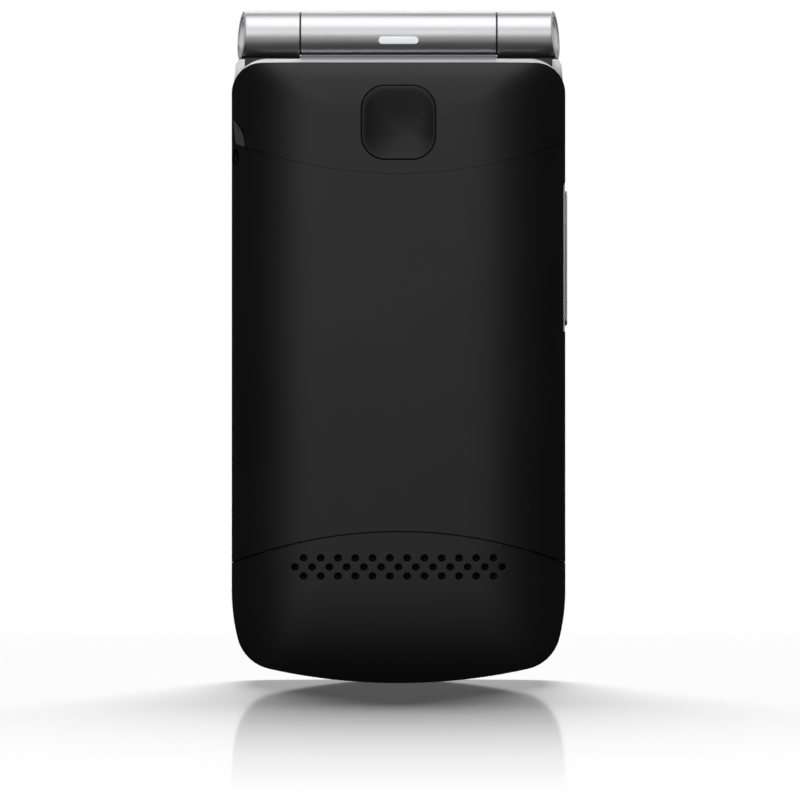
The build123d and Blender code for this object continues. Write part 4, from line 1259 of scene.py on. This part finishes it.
@dataclass
class HingeFrame:
    """The base's silver frame: its ring, the outer knuckles with their lugs, and the end caps."""

    axis_y: float = 1.55
    axis_z: float = 101.25
    radius: float = 3.85
    face: float = 1.2
    back: float = -1.6
    top: float = 97.4
    half_width: float = 26.0
    past_side: float = 27.0
    past_top: float = 9.0
    old_gap: float = 0.1
    old_lift: float = 0.2
    old_depths: tuple[float, float] = (-6.0, 8.0)
    past_ends: float = 60.0
    band_corner: float = 5.5
    band_depth: float = 1.0
    corner_past: float = 0.5
    shoulder: tuple[float, float] = (24.95, 0.1)
    shoulder_bend: tuple[float, float] = (25.5, -0.9)
    shoulder_drop: float = 6.5
    neck_near: tuple[float, float] = (15.4, 0.02)
    neck_far: tuple[float, float] = (26.5, 1.4)
    lug_start: float = 15.5
    lug_length: float = 10.0
    lug_reach: float = 24.66
    lug_turn: float = 10.0
    lug_lean: float = 4.5
    lug_foot: float = 96.9
    lug_back: float = 0.6
    lip_half: float = 15.2
    lip_back: float = -0.9
    lip_hollow: float = 4.66
    lip_top: float = 97.95
    lip_front: float = -1.8
    lip_root: float = 0.5
    # the black strip under the lid's barrel is painted shade
    strip_hollow: float = 4.06
    strip_ends: float = 0.05
    strip_under: float = 0.02
    strip_behind: float = 0.2
    strip_past: float = 0.6
    cove_radius: float = 3.6
    cove_y: float = -5.2
    cove_z: float = 96.93
    cove_past: float = 0.2
    # the black pads under the knuckles are painted shade, where the knuckles shade the band
    seat_start: float = 15.6
    seat_end: float = 25.0
    seat_swing: float = 40.8
    seat_low: float = 97.3
    seat_high: float = 97.54
    seat_sink: float = 0.12
    seat_back: float = 0.5
    seat_lap: float = 0.1
    edge: float = 0.8
    cap: float = 5.6
    cap_gap: float = 0.16
    cap_sink: float = 0.12
    cap_root: float = -0.7
    cap_edge: float = 0.15
    cap_steps: tuple[tuple[float, float], ...] = ((0.4, 0.0), (0.25, -0.2), (0.3, -0.12), (0.5, -0.06))
    cap_pit: tuple[float, float] = (-0.8, 2.0)
    washer_middle: float = 15.35
    washer_width: float = 0.24
    washer_inset: float = 0.2
    washer_bore: float = 2.7

    def end(self, side: int) -> Matrix:
        """Finds the place of a knuckle's end.

        Args:
            side: 1 for the right one, -1 for the left one.

        Returns:
            The place, with its Z axis outwards.
        """
        middle = Matrix.Translation((side * self.lug_reach, self.axis_y, self.axis_z))
        turn = Matrix.Rotation(math.radians(-side * self.lug_turn), 4, "Z")
        lean = Matrix.Rotation(math.radians(-side * self.lug_lean), 4, "Y")
        return middle @ turn @ lean @ Matrix.Rotation(math.radians(side * 90), 4, "Y")

    def outward(self, side: int) -> Vector:
        """Returns the direction that a knuckle's end faces."""
        return self.end(side).to_3x3() @ Vector((0, 0, 1))

    def lug(self, side: int) -> BMesh:
        """Builds a knuckle with the lug that carries it, up to its slanted end.

        Args:
            side: 1 for the right one, -1 for the left one.

        Returns:
            The closed mesh.
        """
        front, foot = self.face - self.axis_y, self.lug_foot - self.axis_z
        low = -math.sqrt(self.radius**2 - front**2)
        start = math.degrees(math.atan2(low, front))
        stop = 360 - math.degrees(math.acos((self.lug_back - self.axis_y) / self.radius))
        pen = Pen(front, foot).line(front, low).arc((0.0, 0.0), stop - start, 70)
        mesh = pen.line(self.lug_back - self.axis_y, foot).solid(0.0, self.lug_length)
        # the outline was drawn with Y along X: it is turned upright, then moved to the axis
        upright = Matrix(((0, side, 0), (1, 0, 0), (0, 0, 1))).to_4x4()
        bmesh.ops.transform(mesh, matrix=upright, verts=mesh.verts)
        bmesh.ops.translate(mesh, vec=(side * self.lug_start, self.axis_y, self.axis_z), verts=mesh.verts)
        made = bmesh.ops.bisect_plane(
            mesh, geom=mesh.verts[:] + mesh.edges[:] + mesh.faces[:], dist=MERGE,
            plane_co=self.end(side).translation, plane_no=self.outward(side), clear_outer=True,
        )
        rim = [item for item in made["geom_cut"] if isinstance(item, BMEdge)]
        bmesh.ops.contextual_create(mesh, geom=rim)
        bmesh.ops.recalc_face_normals(mesh, faces=mesh.faces)
        soften(mesh, rim, self.edge, 5)
        return mesh

    def disc(self, side: int, diameter: float, near: float, far: float) -> BMesh:
        """Builds a disc on a knuckle's end.

        Args:
            side: 1 for the right one, -1 for the left one.
            diameter: Its diameter.
            near: Height of its inner face above the end.
            far: Height of its outer face above the end.

        Returns:
            The closed mesh.
        """
        mesh = bmesh.new()
        place = self.end(side) @ Matrix.Translation((0.0, 0.0, (near + far) / 2))
        bar(mesh, (diameter / 2, diameter / 2), far - near, place, 48)
        return mesh

    def rod(self, radius: float, y: float, z: float, length: float) -> BMesh:
        """Builds a rod along X, with its middle on the middle plane.

        Args:
            radius: Its radius.
            y: Depth of its axis.
            z: Height of its axis.
            length: Its length.

        Returns:
            The closed mesh.
        """
        mesh = bmesh.new()
        place = Matrix.Translation((0.0, y, z)) @ Matrix.Rotation(math.radians(90), 4, "Y")
        bar(mesh, (radius, radius), length, place, 128)
        return mesh

    def corner_waste(self, side: int) -> BMesh:
        """Builds the waste outside the band's rounded top corner, in the frame's back layer.

        Args:
            side: 1 for the right one, -1 for the left one.

        Returns:
            The closed mesh.
        """
        x, z = Vector((side * (self.half_width - self.band_corner), self.top - self.band_corner))
        past, high = side * self.past_side, self.top + self.corner_past
        pen = Pen(x, self.top).line(x, high).line(past, high).line(past, z).line(side * self.half_width, z)
        return pen.arc((x, z), side * 90, 16).solid(self.back - 1, self.back + self.band_depth)

    def side_waste(self, side: int) -> BMesh:
        """Builds the waste beside the band's shoulder, which leans in towards the knuckle.

        Args:
            side: 1 for the right one, -1 for the left one.

        Returns:
            The closed mesh.
        """
        past, low = side * self.past_side, self.top - self.shoulder_drop
        (near, high), (bend, down) = self.shoulder, self.shoulder_bend
        pen = Pen(side * near, self.top + high).line(past, self.top + high).line(past, low)
        pen.line(side * self.half_width, low).line(side * bend, self.top + down)
        return pen.solid(self.back - 1, self.face + 1)

    def old_knuckle(self, side: int) -> BMesh:
        """Builds the waste that takes away the copy's own knuckle.

        Args:
            side: 1 for the right one, -1 for the left one.

        Returns:
            The closed mesh.
        """
        near = (side * (self.lug_start - self.old_gap), self.top + self.old_lift)
        return rectangle(near, (side * self.past_side, self.top + self.past_top)).solid(*self.old_depths)

    def neck_waste(self, side: int) -> BMesh:
        """Builds the waste between the band and the round underside of a knuckle.

        Args:
            side: 1 for the right one, -1 for the left one.

        Returns:
            The closed mesh.
        """
        near, far = ((side * x, self.top + z) for x, z in (self.neck_near, self.neck_far))
        block = rectangle(near, far).solid(self.back - 1, self.lug_back)
        return carve(block, self.rod(self.radius, self.axis_y, self.axis_z, self.past_ends))

    def lip(self) -> BMesh:
        """Builds the lip that stands up in front of the lid's barrel.

        Returns:
            The closed mesh.
        """
        block = rectangle((-self.lip_half, self.top - self.lip_root), (self.lip_half, self.lip_top))
        hollow = self.rod(self.lip_hollow, self.axis_y, self.axis_z, 3 * self.lip_half)
        return carve(block.solid(self.lip_front, self.lip_back), hollow)

    def strip(self) -> None:
        """Builds the black strip behind the lip, under the lid's barrel, as painted shade in the gap beneath
        the barrel.
        """
        half = self.lip_half - self.strip_ends
        block = rectangle((-half, self.seat_low), (half, self.lip_top - self.strip_under))
        hollow = self.rod(self.strip_hollow, self.axis_y, self.axis_z, 3 * self.lip_half)
        mesh = carve(block.solid(self.lip_front + self.strip_behind, self.lip_back + self.strip_past), hollow)
        # the strip's black stands in for the shade under the barrel
        dress(finished(mesh, "hinge_shade_strip"), "switch_black", "base")

    def seat(self, side: int) -> None:
        """Builds the black pad under a knuckle: painted shade where the knuckle shades the band below it.

        Args:
            side: 1 for the right one, -1 for the left one.
        """
        curve = (side * (self.half_width - self.band_corner), self.top - self.band_corner)
        front = Pen(side * self.seat_start, self.seat_low).line(curve[0], self.seat_low)
        front.arc(curve, -side * self.seat_swing, 10)
        front.line(front.tip.co.x, self.seat_high).line(side * self.seat_start, self.seat_high)
        rear = rectangle((side * self.seat_start, self.seat_low), (side * self.seat_end, self.seat_high))
        middle = self.back + self.band_depth + self.seat_lap
        blocks = (
            front.solid(self.back + self.seat_sink, middle + self.seat_lap),
            rear.solid(middle, self.seat_back),
        )
        # the pad's black is painted shade under the knuckle
        dress(finished(carve(*blocks, Cut.JOIN), f"hinge_shade_pad_{SIDES[side]}"), "switch_black", "base")

    def washer(self, side: int) -> None:
        """Builds the washer that fills the joint between a knuckle and the lid's barrel.

        Args:
            side: 1 for the right one, -1 for the left one.
        """
        mesh = self.rod(self.radius - self.washer_inset, self.axis_y, self.axis_z, self.washer_width)
        mesh = carve(mesh, self.rod(self.washer_bore, self.axis_y, self.axis_z, 1.0))
        bmesh.ops.translate(mesh, vec=(side * self.washer_middle, 0.0, 0.0), verts=mesh.verts)
        dress(finished(mesh, f"hinge_washer_{SIDES[side]}"), "switch_black", "base")

    def end_cap(self, side: int) -> None:
        """Builds the dished cap of a knuckle's end.

        Args:
            side: 1 for the right one, -1 for the left one.
        """
        mesh = self.disc(side, self.cap, self.cap_root, -self.cap_sink)
        soften(mesh, furthest(mesh, self.outward(side)).edges, self.cap_edge, 3)
        face = furthest(mesh, self.outward(side))
        for thickness, depth in self.cap_steps:
            bmesh.ops.inset_region(mesh, faces=[face], thickness=thickness, depth=depth, use_even_offset=True)
        dress(finished(mesh, f"hinge_cap_{SIDES[side]}", 40.0), "frame_silver", "base", "hinge_caps")

    def build(self) -> None:
        """Builds the frame and what stands at its hinge."""
        mesh = copied("base_frame")
        for side in SIDES:
            for waste in (self.old_knuckle, self.neck_waste, self.corner_waste, self.side_waste):
                mesh = carve(mesh, waste(side))
            mesh = carve(mesh, self.lug(side), Cut.JOIN)
            mesh = carve(mesh, self.disc(side, self.cap + 2 * self.cap_gap, *self.cap_pit))
        mesh = carve(mesh, self.lip(), Cut.JOIN)
        cove = self.rod(self.cove_radius, self.cove_y, self.cove_z, 2 * self.lip_half + self.cove_past)
        ring = finished(carve(mesh, cove), "base_frame_ring", 35.0, HINGE.normal)
        dress(ring, "frame_silver", "base", "base_frame")
        self.strip()
        for side in SIDES:
            self.end_cap(side)
            self.washer(side)
            self.seat(side)


@dataclass
class Lid:
    """The lid's outer shell with its window and its lens opening."""

    outlines: Outlines = Outlines()
    crown: Crown = LID_CROWN
    skin: float = 9.8
    mouth: float = 5.2
    wall: float = 1.2
    inset: float = 0.1
    rim: float = 1.0
    past: float = 1.0
    deep: float = 3.0
    window: float = 30.1
    window_corner: float = 4.05
    window_height: float = 57.0
    lens: float = 7.1
    lens_height: float = 82.0
    hole_edge: float = 0.25
    pane_edge: float = 0.12
    round_sides: int = 64

    def in_openings(self, x: float, z: float) -> bool:
        """Tells whether a place lies within the window or the lens opening."""
        window = max(abs(x), abs(z - self.window_height)) < self.window / 2 + 0.05
        return window or math.hypot(x, z - self.lens_height) < self.lens / 2 + 0.05

    def shell(self) -> None:
        """Builds the lid's outer shell."""
        size, over, under = self.window, self.skin + self.past, self.skin - self.deep
        window = rounded_box(size, size, self.window_corner, 0.0, self.window_height, over, under)
        lens = drills([(0.0, self.lens_height)], self.lens, under, over, self.round_sides)
        Shell(
            "lid_outer_shell", self.outlines.lid, self.crown, self.skin, self.mouth, self.wall,
            inset=self.inset, pocket_land=0.0, rim=self.rim, hole_edge=self.hole_edge,
            holes=[window, lens], hole_zone=self.in_openings,
        ).place("lid", "lid_outer_cover")

    def pane(self) -> None:
        """Builds the window of the outer display."""
        low, high = (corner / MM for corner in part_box("outer_window"))
        corner = self.window_corner - (self.window - (high.x - low.x)) / 2
        mesh = rounded_box(high.x - low.x, high.z - low.z, corner, 0.0, (low.z + high.z) / 2, low.y, high.y)
        self.dull(mesh, high.y)
        dress(finished(mesh, "outer_pane"), "window_dark", "lid", "outer_window")

    def glass(self) -> None:
        """Builds the camera's cover glass."""
        low, high = (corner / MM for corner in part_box("camera_lens"))
        mesh = drills([(0.0, (low.z + high.z) / 2)], high.x - low.x, low.y, high.y, self.round_sides)
        self.dull(mesh, high.y)
        dress(finished(mesh, "camera_glass"), "window_dark", "lid", "camera_lens")

    def dull(self, mesh: BMesh, level: float) -> None:
        """Takes the sharpness off the edge of a pane at a depth."""
        soften(mesh, [edge for edge in mesh.edges if at_depth(edge, level)], self.pane_edge, 2)

    def build(self) -> None:
        """Builds the shell and both panes."""
        self.shell()
        self.pane()
        self.glass()


# ---- Pieces whose shape is the CAD's own ----

@dataclass(frozen=True)
class Carried:
    """CAD nodes that keep their shape, by finish. Smoothed ones show a merged copy."""

    smoothed: dict[str, tuple[str, ...]] = field(default_factory=lambda: {
        "frame_silver": ("lid_frame",),
        "key_silver": ("volume_key", "nav_ring"),
        "deck_black": ("keypad_housing",),
        "key_black": (
            "ok_key", "key_soft_left", "key_soft_right", "key_call", "key_end",
            "key_star", "key_0", "key_hash", *(f"key_{digit}" for digit in range(1, 10)),
        ),
        "light_white": ("light_guide",),
        "hinge_steel": ("hinge_shaft", "hinge_pivot_tube", "hinge_can"),
        "screw_steel": ("base_screws",),
        "bumper_rubber": ("lid_bumpers",),
    })
    plain: dict[str, tuple[str, ...]] = field(default_factory=lambda: {
        "board_green": ("main_board", "lid_board"),
        "dome_film": ("dome_sheet",),
        # the meshes' black is partly painted shade in the grille holes
        "mesh_steel": ("speaker_mesh", "earpiece_mesh"),
        "speaker_black": ("loudspeaker", "earpiece"),
        "battery_can": ("battery",),
        "contact_brass": ("battery_contacts",),
        "shield_steel": ("sim_reader", "card_reader", "rf_shield"),
        "switch_black": ("sos_switch", "microphone", "camera_module"),
        "antenna_white": ("antenna",),
        "motor_steel": ("vibration_motor",),
        "port_steel": ("charging_port",),
        "flex_amber": ("flex_roll",),
        "lamp_white": ("indicator_led",),
        "window_clear": ("display_window",),
        "display_dark": ("main_display", "outer_display"),
        "magnet_nickel": ("lid_magnet",),
    })
    ear_room: float = 0.1
    ear_corner: float = 0.5

    def clear_of_keys(self) -> BMesh:
        """Copies the ring with its two ears a little shorter, clear of the keys beside them.

        Returns:
            The closed mesh.
        """
        low, high = (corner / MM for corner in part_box("nav_ring"))
        width, height = high.x - low.x - 2 * self.ear_room, high.z - low.z + 2
        keep = rounded_box(width, height, self.ear_corner, 0.0, (low.z + high.z) / 2, low.y - 1, high.y + 1)
        return carve(copied("nav_ring"), keep, Cut.WITHIN)

    def build(self) -> None:
        """Smooths or dresses each node."""
        for slot, nodes in self.smoothed.items():
            for node in nodes:
                rule = HINGE.normal if node == "lid_frame" else None
                mesh = self.clear_of_keys() if node == "nav_ring" else copied(node)
                dress(finished(mesh, f"{node}_surface", true_normal=rule), slot, body_of(node), node)
        for slot, nodes in self.plain.items():
            for node in nodes:
                for place in frame["nodes"][node].material_slots:
                    place.material = material_of(FINISHES[slot])
                TALLY.info("%s keeps its own mesh", node)


@dataclass
class Legends:
    """The printed marks of the keys, which read from the key side."""

    digit_size: float = 5.0
    letter_size: float = 2.3
    digit_lift: float = 1.4
    letter_lift: float = -3.2
    proud: float = 0.02
    letters: tuple[str, ...] = ("", "abc", "def", "ghi", "jkl", "mno", "pqrs", "tuv", "wxyz")
    signs: dict[str, tuple[str, float, str]] = field(default_factory=lambda: {
        "key_star": ("*", 5.0, "legend_white"),
        "key_0": ("0", 5.0, "legend_white"),
        "key_hash": ("#", 5.0, "legend_white"),
        "key_soft_left": ("-", 5.0, "legend_white"),
        "key_soft_right": ("-", 5.0, "legend_white"),
        "ok_key": ("OK", 2.9, "legend_white"),
        "key_call": ("C", 4.4, "legend_green"),
        "key_end": ("O", 4.4, "legend_red"),
    })

    def mark(self, text: str, size: float, key: str, x: float, z: float, finish: str) -> None:
        """Prints a text on a key.

        Args:
            text: What it says.
            size: Height of the letters.
            key: The key's node.
            x: Place to the reader's right of the key's middle.
            z: Place above the key's middle.
            finish: The ink.
        """
        low, high = (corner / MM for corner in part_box(key))
        curve = bpy.data.curves.new("marking", "FONT")
        curve.body = text
        curve.size = size
        curve.extrude = self.proud
        curve.resolution_u = 3
        curve.align_x = "CENTER"
        curve.align_y = "CENTER"
        holder = shown("marking", curve)
        letters = bpy.data.meshes.new_from_object(evaluated(holder))
        mesh = bmesh.new()
        mesh.from_mesh(letters)
        bpy.data.objects.remove(holder)
        bpy.data.curves.remove(curve)
        bpy.data.meshes.remove(letters)
        turn = Matrix(((-1, 0, 0), (0, 0, 1), (0, 1, 0))).to_4x4()
        middle = (low + high) / 2
        place = Matrix.Translation((middle.x - x, high.y + self.proud / 2, middle.z + z))
        bmesh.ops.transform(mesh, matrix=place @ turn, verts=mesh.verts)
        bmesh.ops.remove_doubles(mesh, verts=mesh.verts, dist=MERGE)
        name = f"{key}_print_{'letters' if size == self.letter_size else 'sign'}"
        dress(finished(mesh, name), "key_black", body_of(key), finish=finish)

    def build(self) -> None:
        """Prints every key."""
        for digit, letters in enumerate(self.letters, start=1):
            lift = self.digit_lift if letters else 0.0
            self.mark(str(digit), self.digit_size, f"key_{digit}", 0.0, lift, "legend_white")
            if letters:
                self.mark(letters, self.letter_size, f"key_{digit}", 0.0, self.letter_lift, "legend_white")
        for key, (text, size, finish) in self.signs.items():
            self.mark(text, size, key, 0.0, 0.0, finish)


# ---- Studio ----

@dataclass(frozen=True)
class Softbox:
    """A soft light that looks at the middle of the object. Lengths are in metres."""

    name: str
    azimuth: float
    elevation: float
    distance: float
    width: float
    height: float
    brightness: float

    def place(self) -> bpy.types.Object:
        """Adds the light.

        Returns:
            The light's object.
        """
        light = bpy.data.lights.new(self.name, "AREA")
        light.shape = "RECTANGLE"
        light.size = self.width
        light.size_y = self.height
        light.energy = self.brightness * math.pi * self.width * self.height
        lamp = shown(self.name, light)
        turn, rise = math.radians(self.azimuth), math.radians(self.elevation)
        way = Vector((math.sin(turn) * math.cos(rise), -math.cos(turn) * math.cos(rise), math.sin(rise)))
        lamp.location = Vector((0.0, 0.0, 0.05)) + self.distance * way
        lamp.rotation_euler = way.to_track_quat("Z", "Y").to_euler()
        lamp.visible_camera = False
        return lamp


@dataclass
class Studio:
    """The camera, the floor and the lights."""

    frame_width: float = 0.12493
    distance: float = 0.95
    centre: Place = (0.00023, -0.0025, 0.04408)
    sensor: float = 36.0
    floor_size: float = 20.0
    dome_radius: float = 5.0
    dome_glow: float = 1.1
    sun_strength: float = 4.6
    sun_width: float = 32.0
    sun_tilt: float = -48.0
    lights: tuple[Softbox, ...] = (
        Softbox("front_light", -6, 14, 0.65, 0.34, 0.26, 2.3),
        Softbox("low_light", -4, -20, 0.8, 0.40, 0.30, 0.5),
        Softbox("top_light", 0, 65, 0.9, 1.20, 1.00, 1.7),
        Softbox("right_light", 132, 20, 1.0, 0.60, 0.90, 0.7),
        Softbox("left_light", -132, 20, 1.0, 0.60, 0.90, 0.8),
        Softbox("lid_light", 176, 8, 0.8, 0.30, 0.30, 1.2),
        Softbox("rear_light", 180, 42, 1.0, 0.90, 0.50, 1.8),
    )
    metal_lights: tuple[Softbox, ...] = (
        Softbox("right_metal_light", 96, 12, 1.0, 0.60, 0.90, 0.9),
        Softbox("left_metal_light", -96, 12, 1.0, 0.60, 0.90, 0.9),
    )
    metals: tuple[str, ...] = ("frame_silver", "key_silver", "port_steel")

    def camera(self) -> None:
        """Adds the camera, level and square to the back."""
        camera = bpy.data.cameras.new("camera")
        camera.sensor_width = self.sensor
        camera.lens = self.sensor * self.distance / self.frame_width
        camera.clip_end = 50.0
        holder = shown("camera", camera)
        holder.location = Vector(self.centre) - Vector((0.0, self.distance, 0.0))
        holder.rotation_euler = (math.radians(90), 0.0, 0.0)
        bpy.context.scene.camera = holder

    def floor(self) -> bpy.types.Object:
        """Adds the pale floor.

        Returns:
            The floor.
        """
        mesh = bmesh.new()
        bmesh.ops.create_grid(mesh, x_segments=1, y_segments=1, size=self.floor_size / MM)
        floor = finished(mesh, "floor")
        floor.data.materials.append(FloorFinish().material())
        floor.visible_diffuse = False
        floor.visible_glossy = False
        floor.visible_shadow = False
        return floor

    def dome(self) -> bpy.types.Object:
        """Adds the glowing dome that the floor mirrors.

        Returns:
            The dome.
        """
        mesh = bmesh.new()
        bmesh.ops.create_uvsphere(mesh, u_segments=32, v_segments=16, radius=self.dome_radius / MM)
        dome = finished(mesh, "dome")
        glow, tree = new_material("dome_white")
        shine = {"Emission Color": (1.0, 1.0, 1.0, 1.0), "Emission Strength": self.dome_glow}
        feed(tree, tree.nodes["Principled BSDF"], shine)
        dome.data.materials.append(glow)
        dome.visible_camera = False
        dome.visible_diffuse = False
        dome.visible_transmission = False
        dome.visible_shadow = False
        return dome

    def ground(self) -> bpy.types.Collection:
        """Adds the floor with a sun and a dome that only it receives.

        Returns:
            The receivers of the other lights: everything but the floor.
        """
        floor, dome = self.floor(), self.dome()
        sun = bpy.data.lights.new("floor_light", "SUN")
        sun.energy = self.sun_strength
        sun.angle = math.radians(self.sun_width)
        lamp = shown("floor_light", sun)
        lamp.rotation_euler = (math.radians(self.sun_tilt), 0.0, 0.0)
        only = bpy.data.collections.new("floor_only")
        only.objects.link(floor)
        for source in (lamp, dome):
            source.light_linking.receiver_collection = only
        others = bpy.data.collections.new("all_but_floor")
        others.objects.link(floor)
        others.collection_objects[0].light_linking.link_state = "EXCLUDE"
        return others

    def world(self) -> None:
        """Makes the backdrop white to the camera alone."""
        world = bpy.data.worlds.new("white")
        world.use_nodes = True
        world.node_tree.nodes["Background"].inputs["Color"].default_value = (1.0, 1.0, 1.0, 1.0)
        world.cycles_visibility.diffuse = False
        world.cycles_visibility.glossy = False
        world.cycles_visibility.transmission = False
        world.cycles_visibility.scatter = False
        bpy.context.scene.world = world
        bpy.context.scene.view_settings.view_transform = "Standard"

    def build(self) -> None:
        """Adds the whole studio."""
        self.camera()
        others = self.ground()
        self.world()
        for light in self.lights:
            light.place().light_linking.receiver_collection = others
        metal = bpy.data.collections.new("metal_only")
        finishes = {material_of(FINISHES[name]) for name in self.metals}
        for piece in bpy.context.scene.objects:
            if any(place.material in finishes for place in piece.material_slots):
                metal.objects.link(piece)
        for light in self.metal_lights:
            light.place().light_linking.receiver_collection = metal


def main() -> None:
    """Builds the phone piece by piece."""
    logging.basicConfig(level=logging.INFO, format="%(message)s")
    for part in (Back(), EmergencyButton(), HingeFrame(), Lid(), Carried(), Legends(), Studio()):
        part.build()


if __name__ == "__main__":
    main()
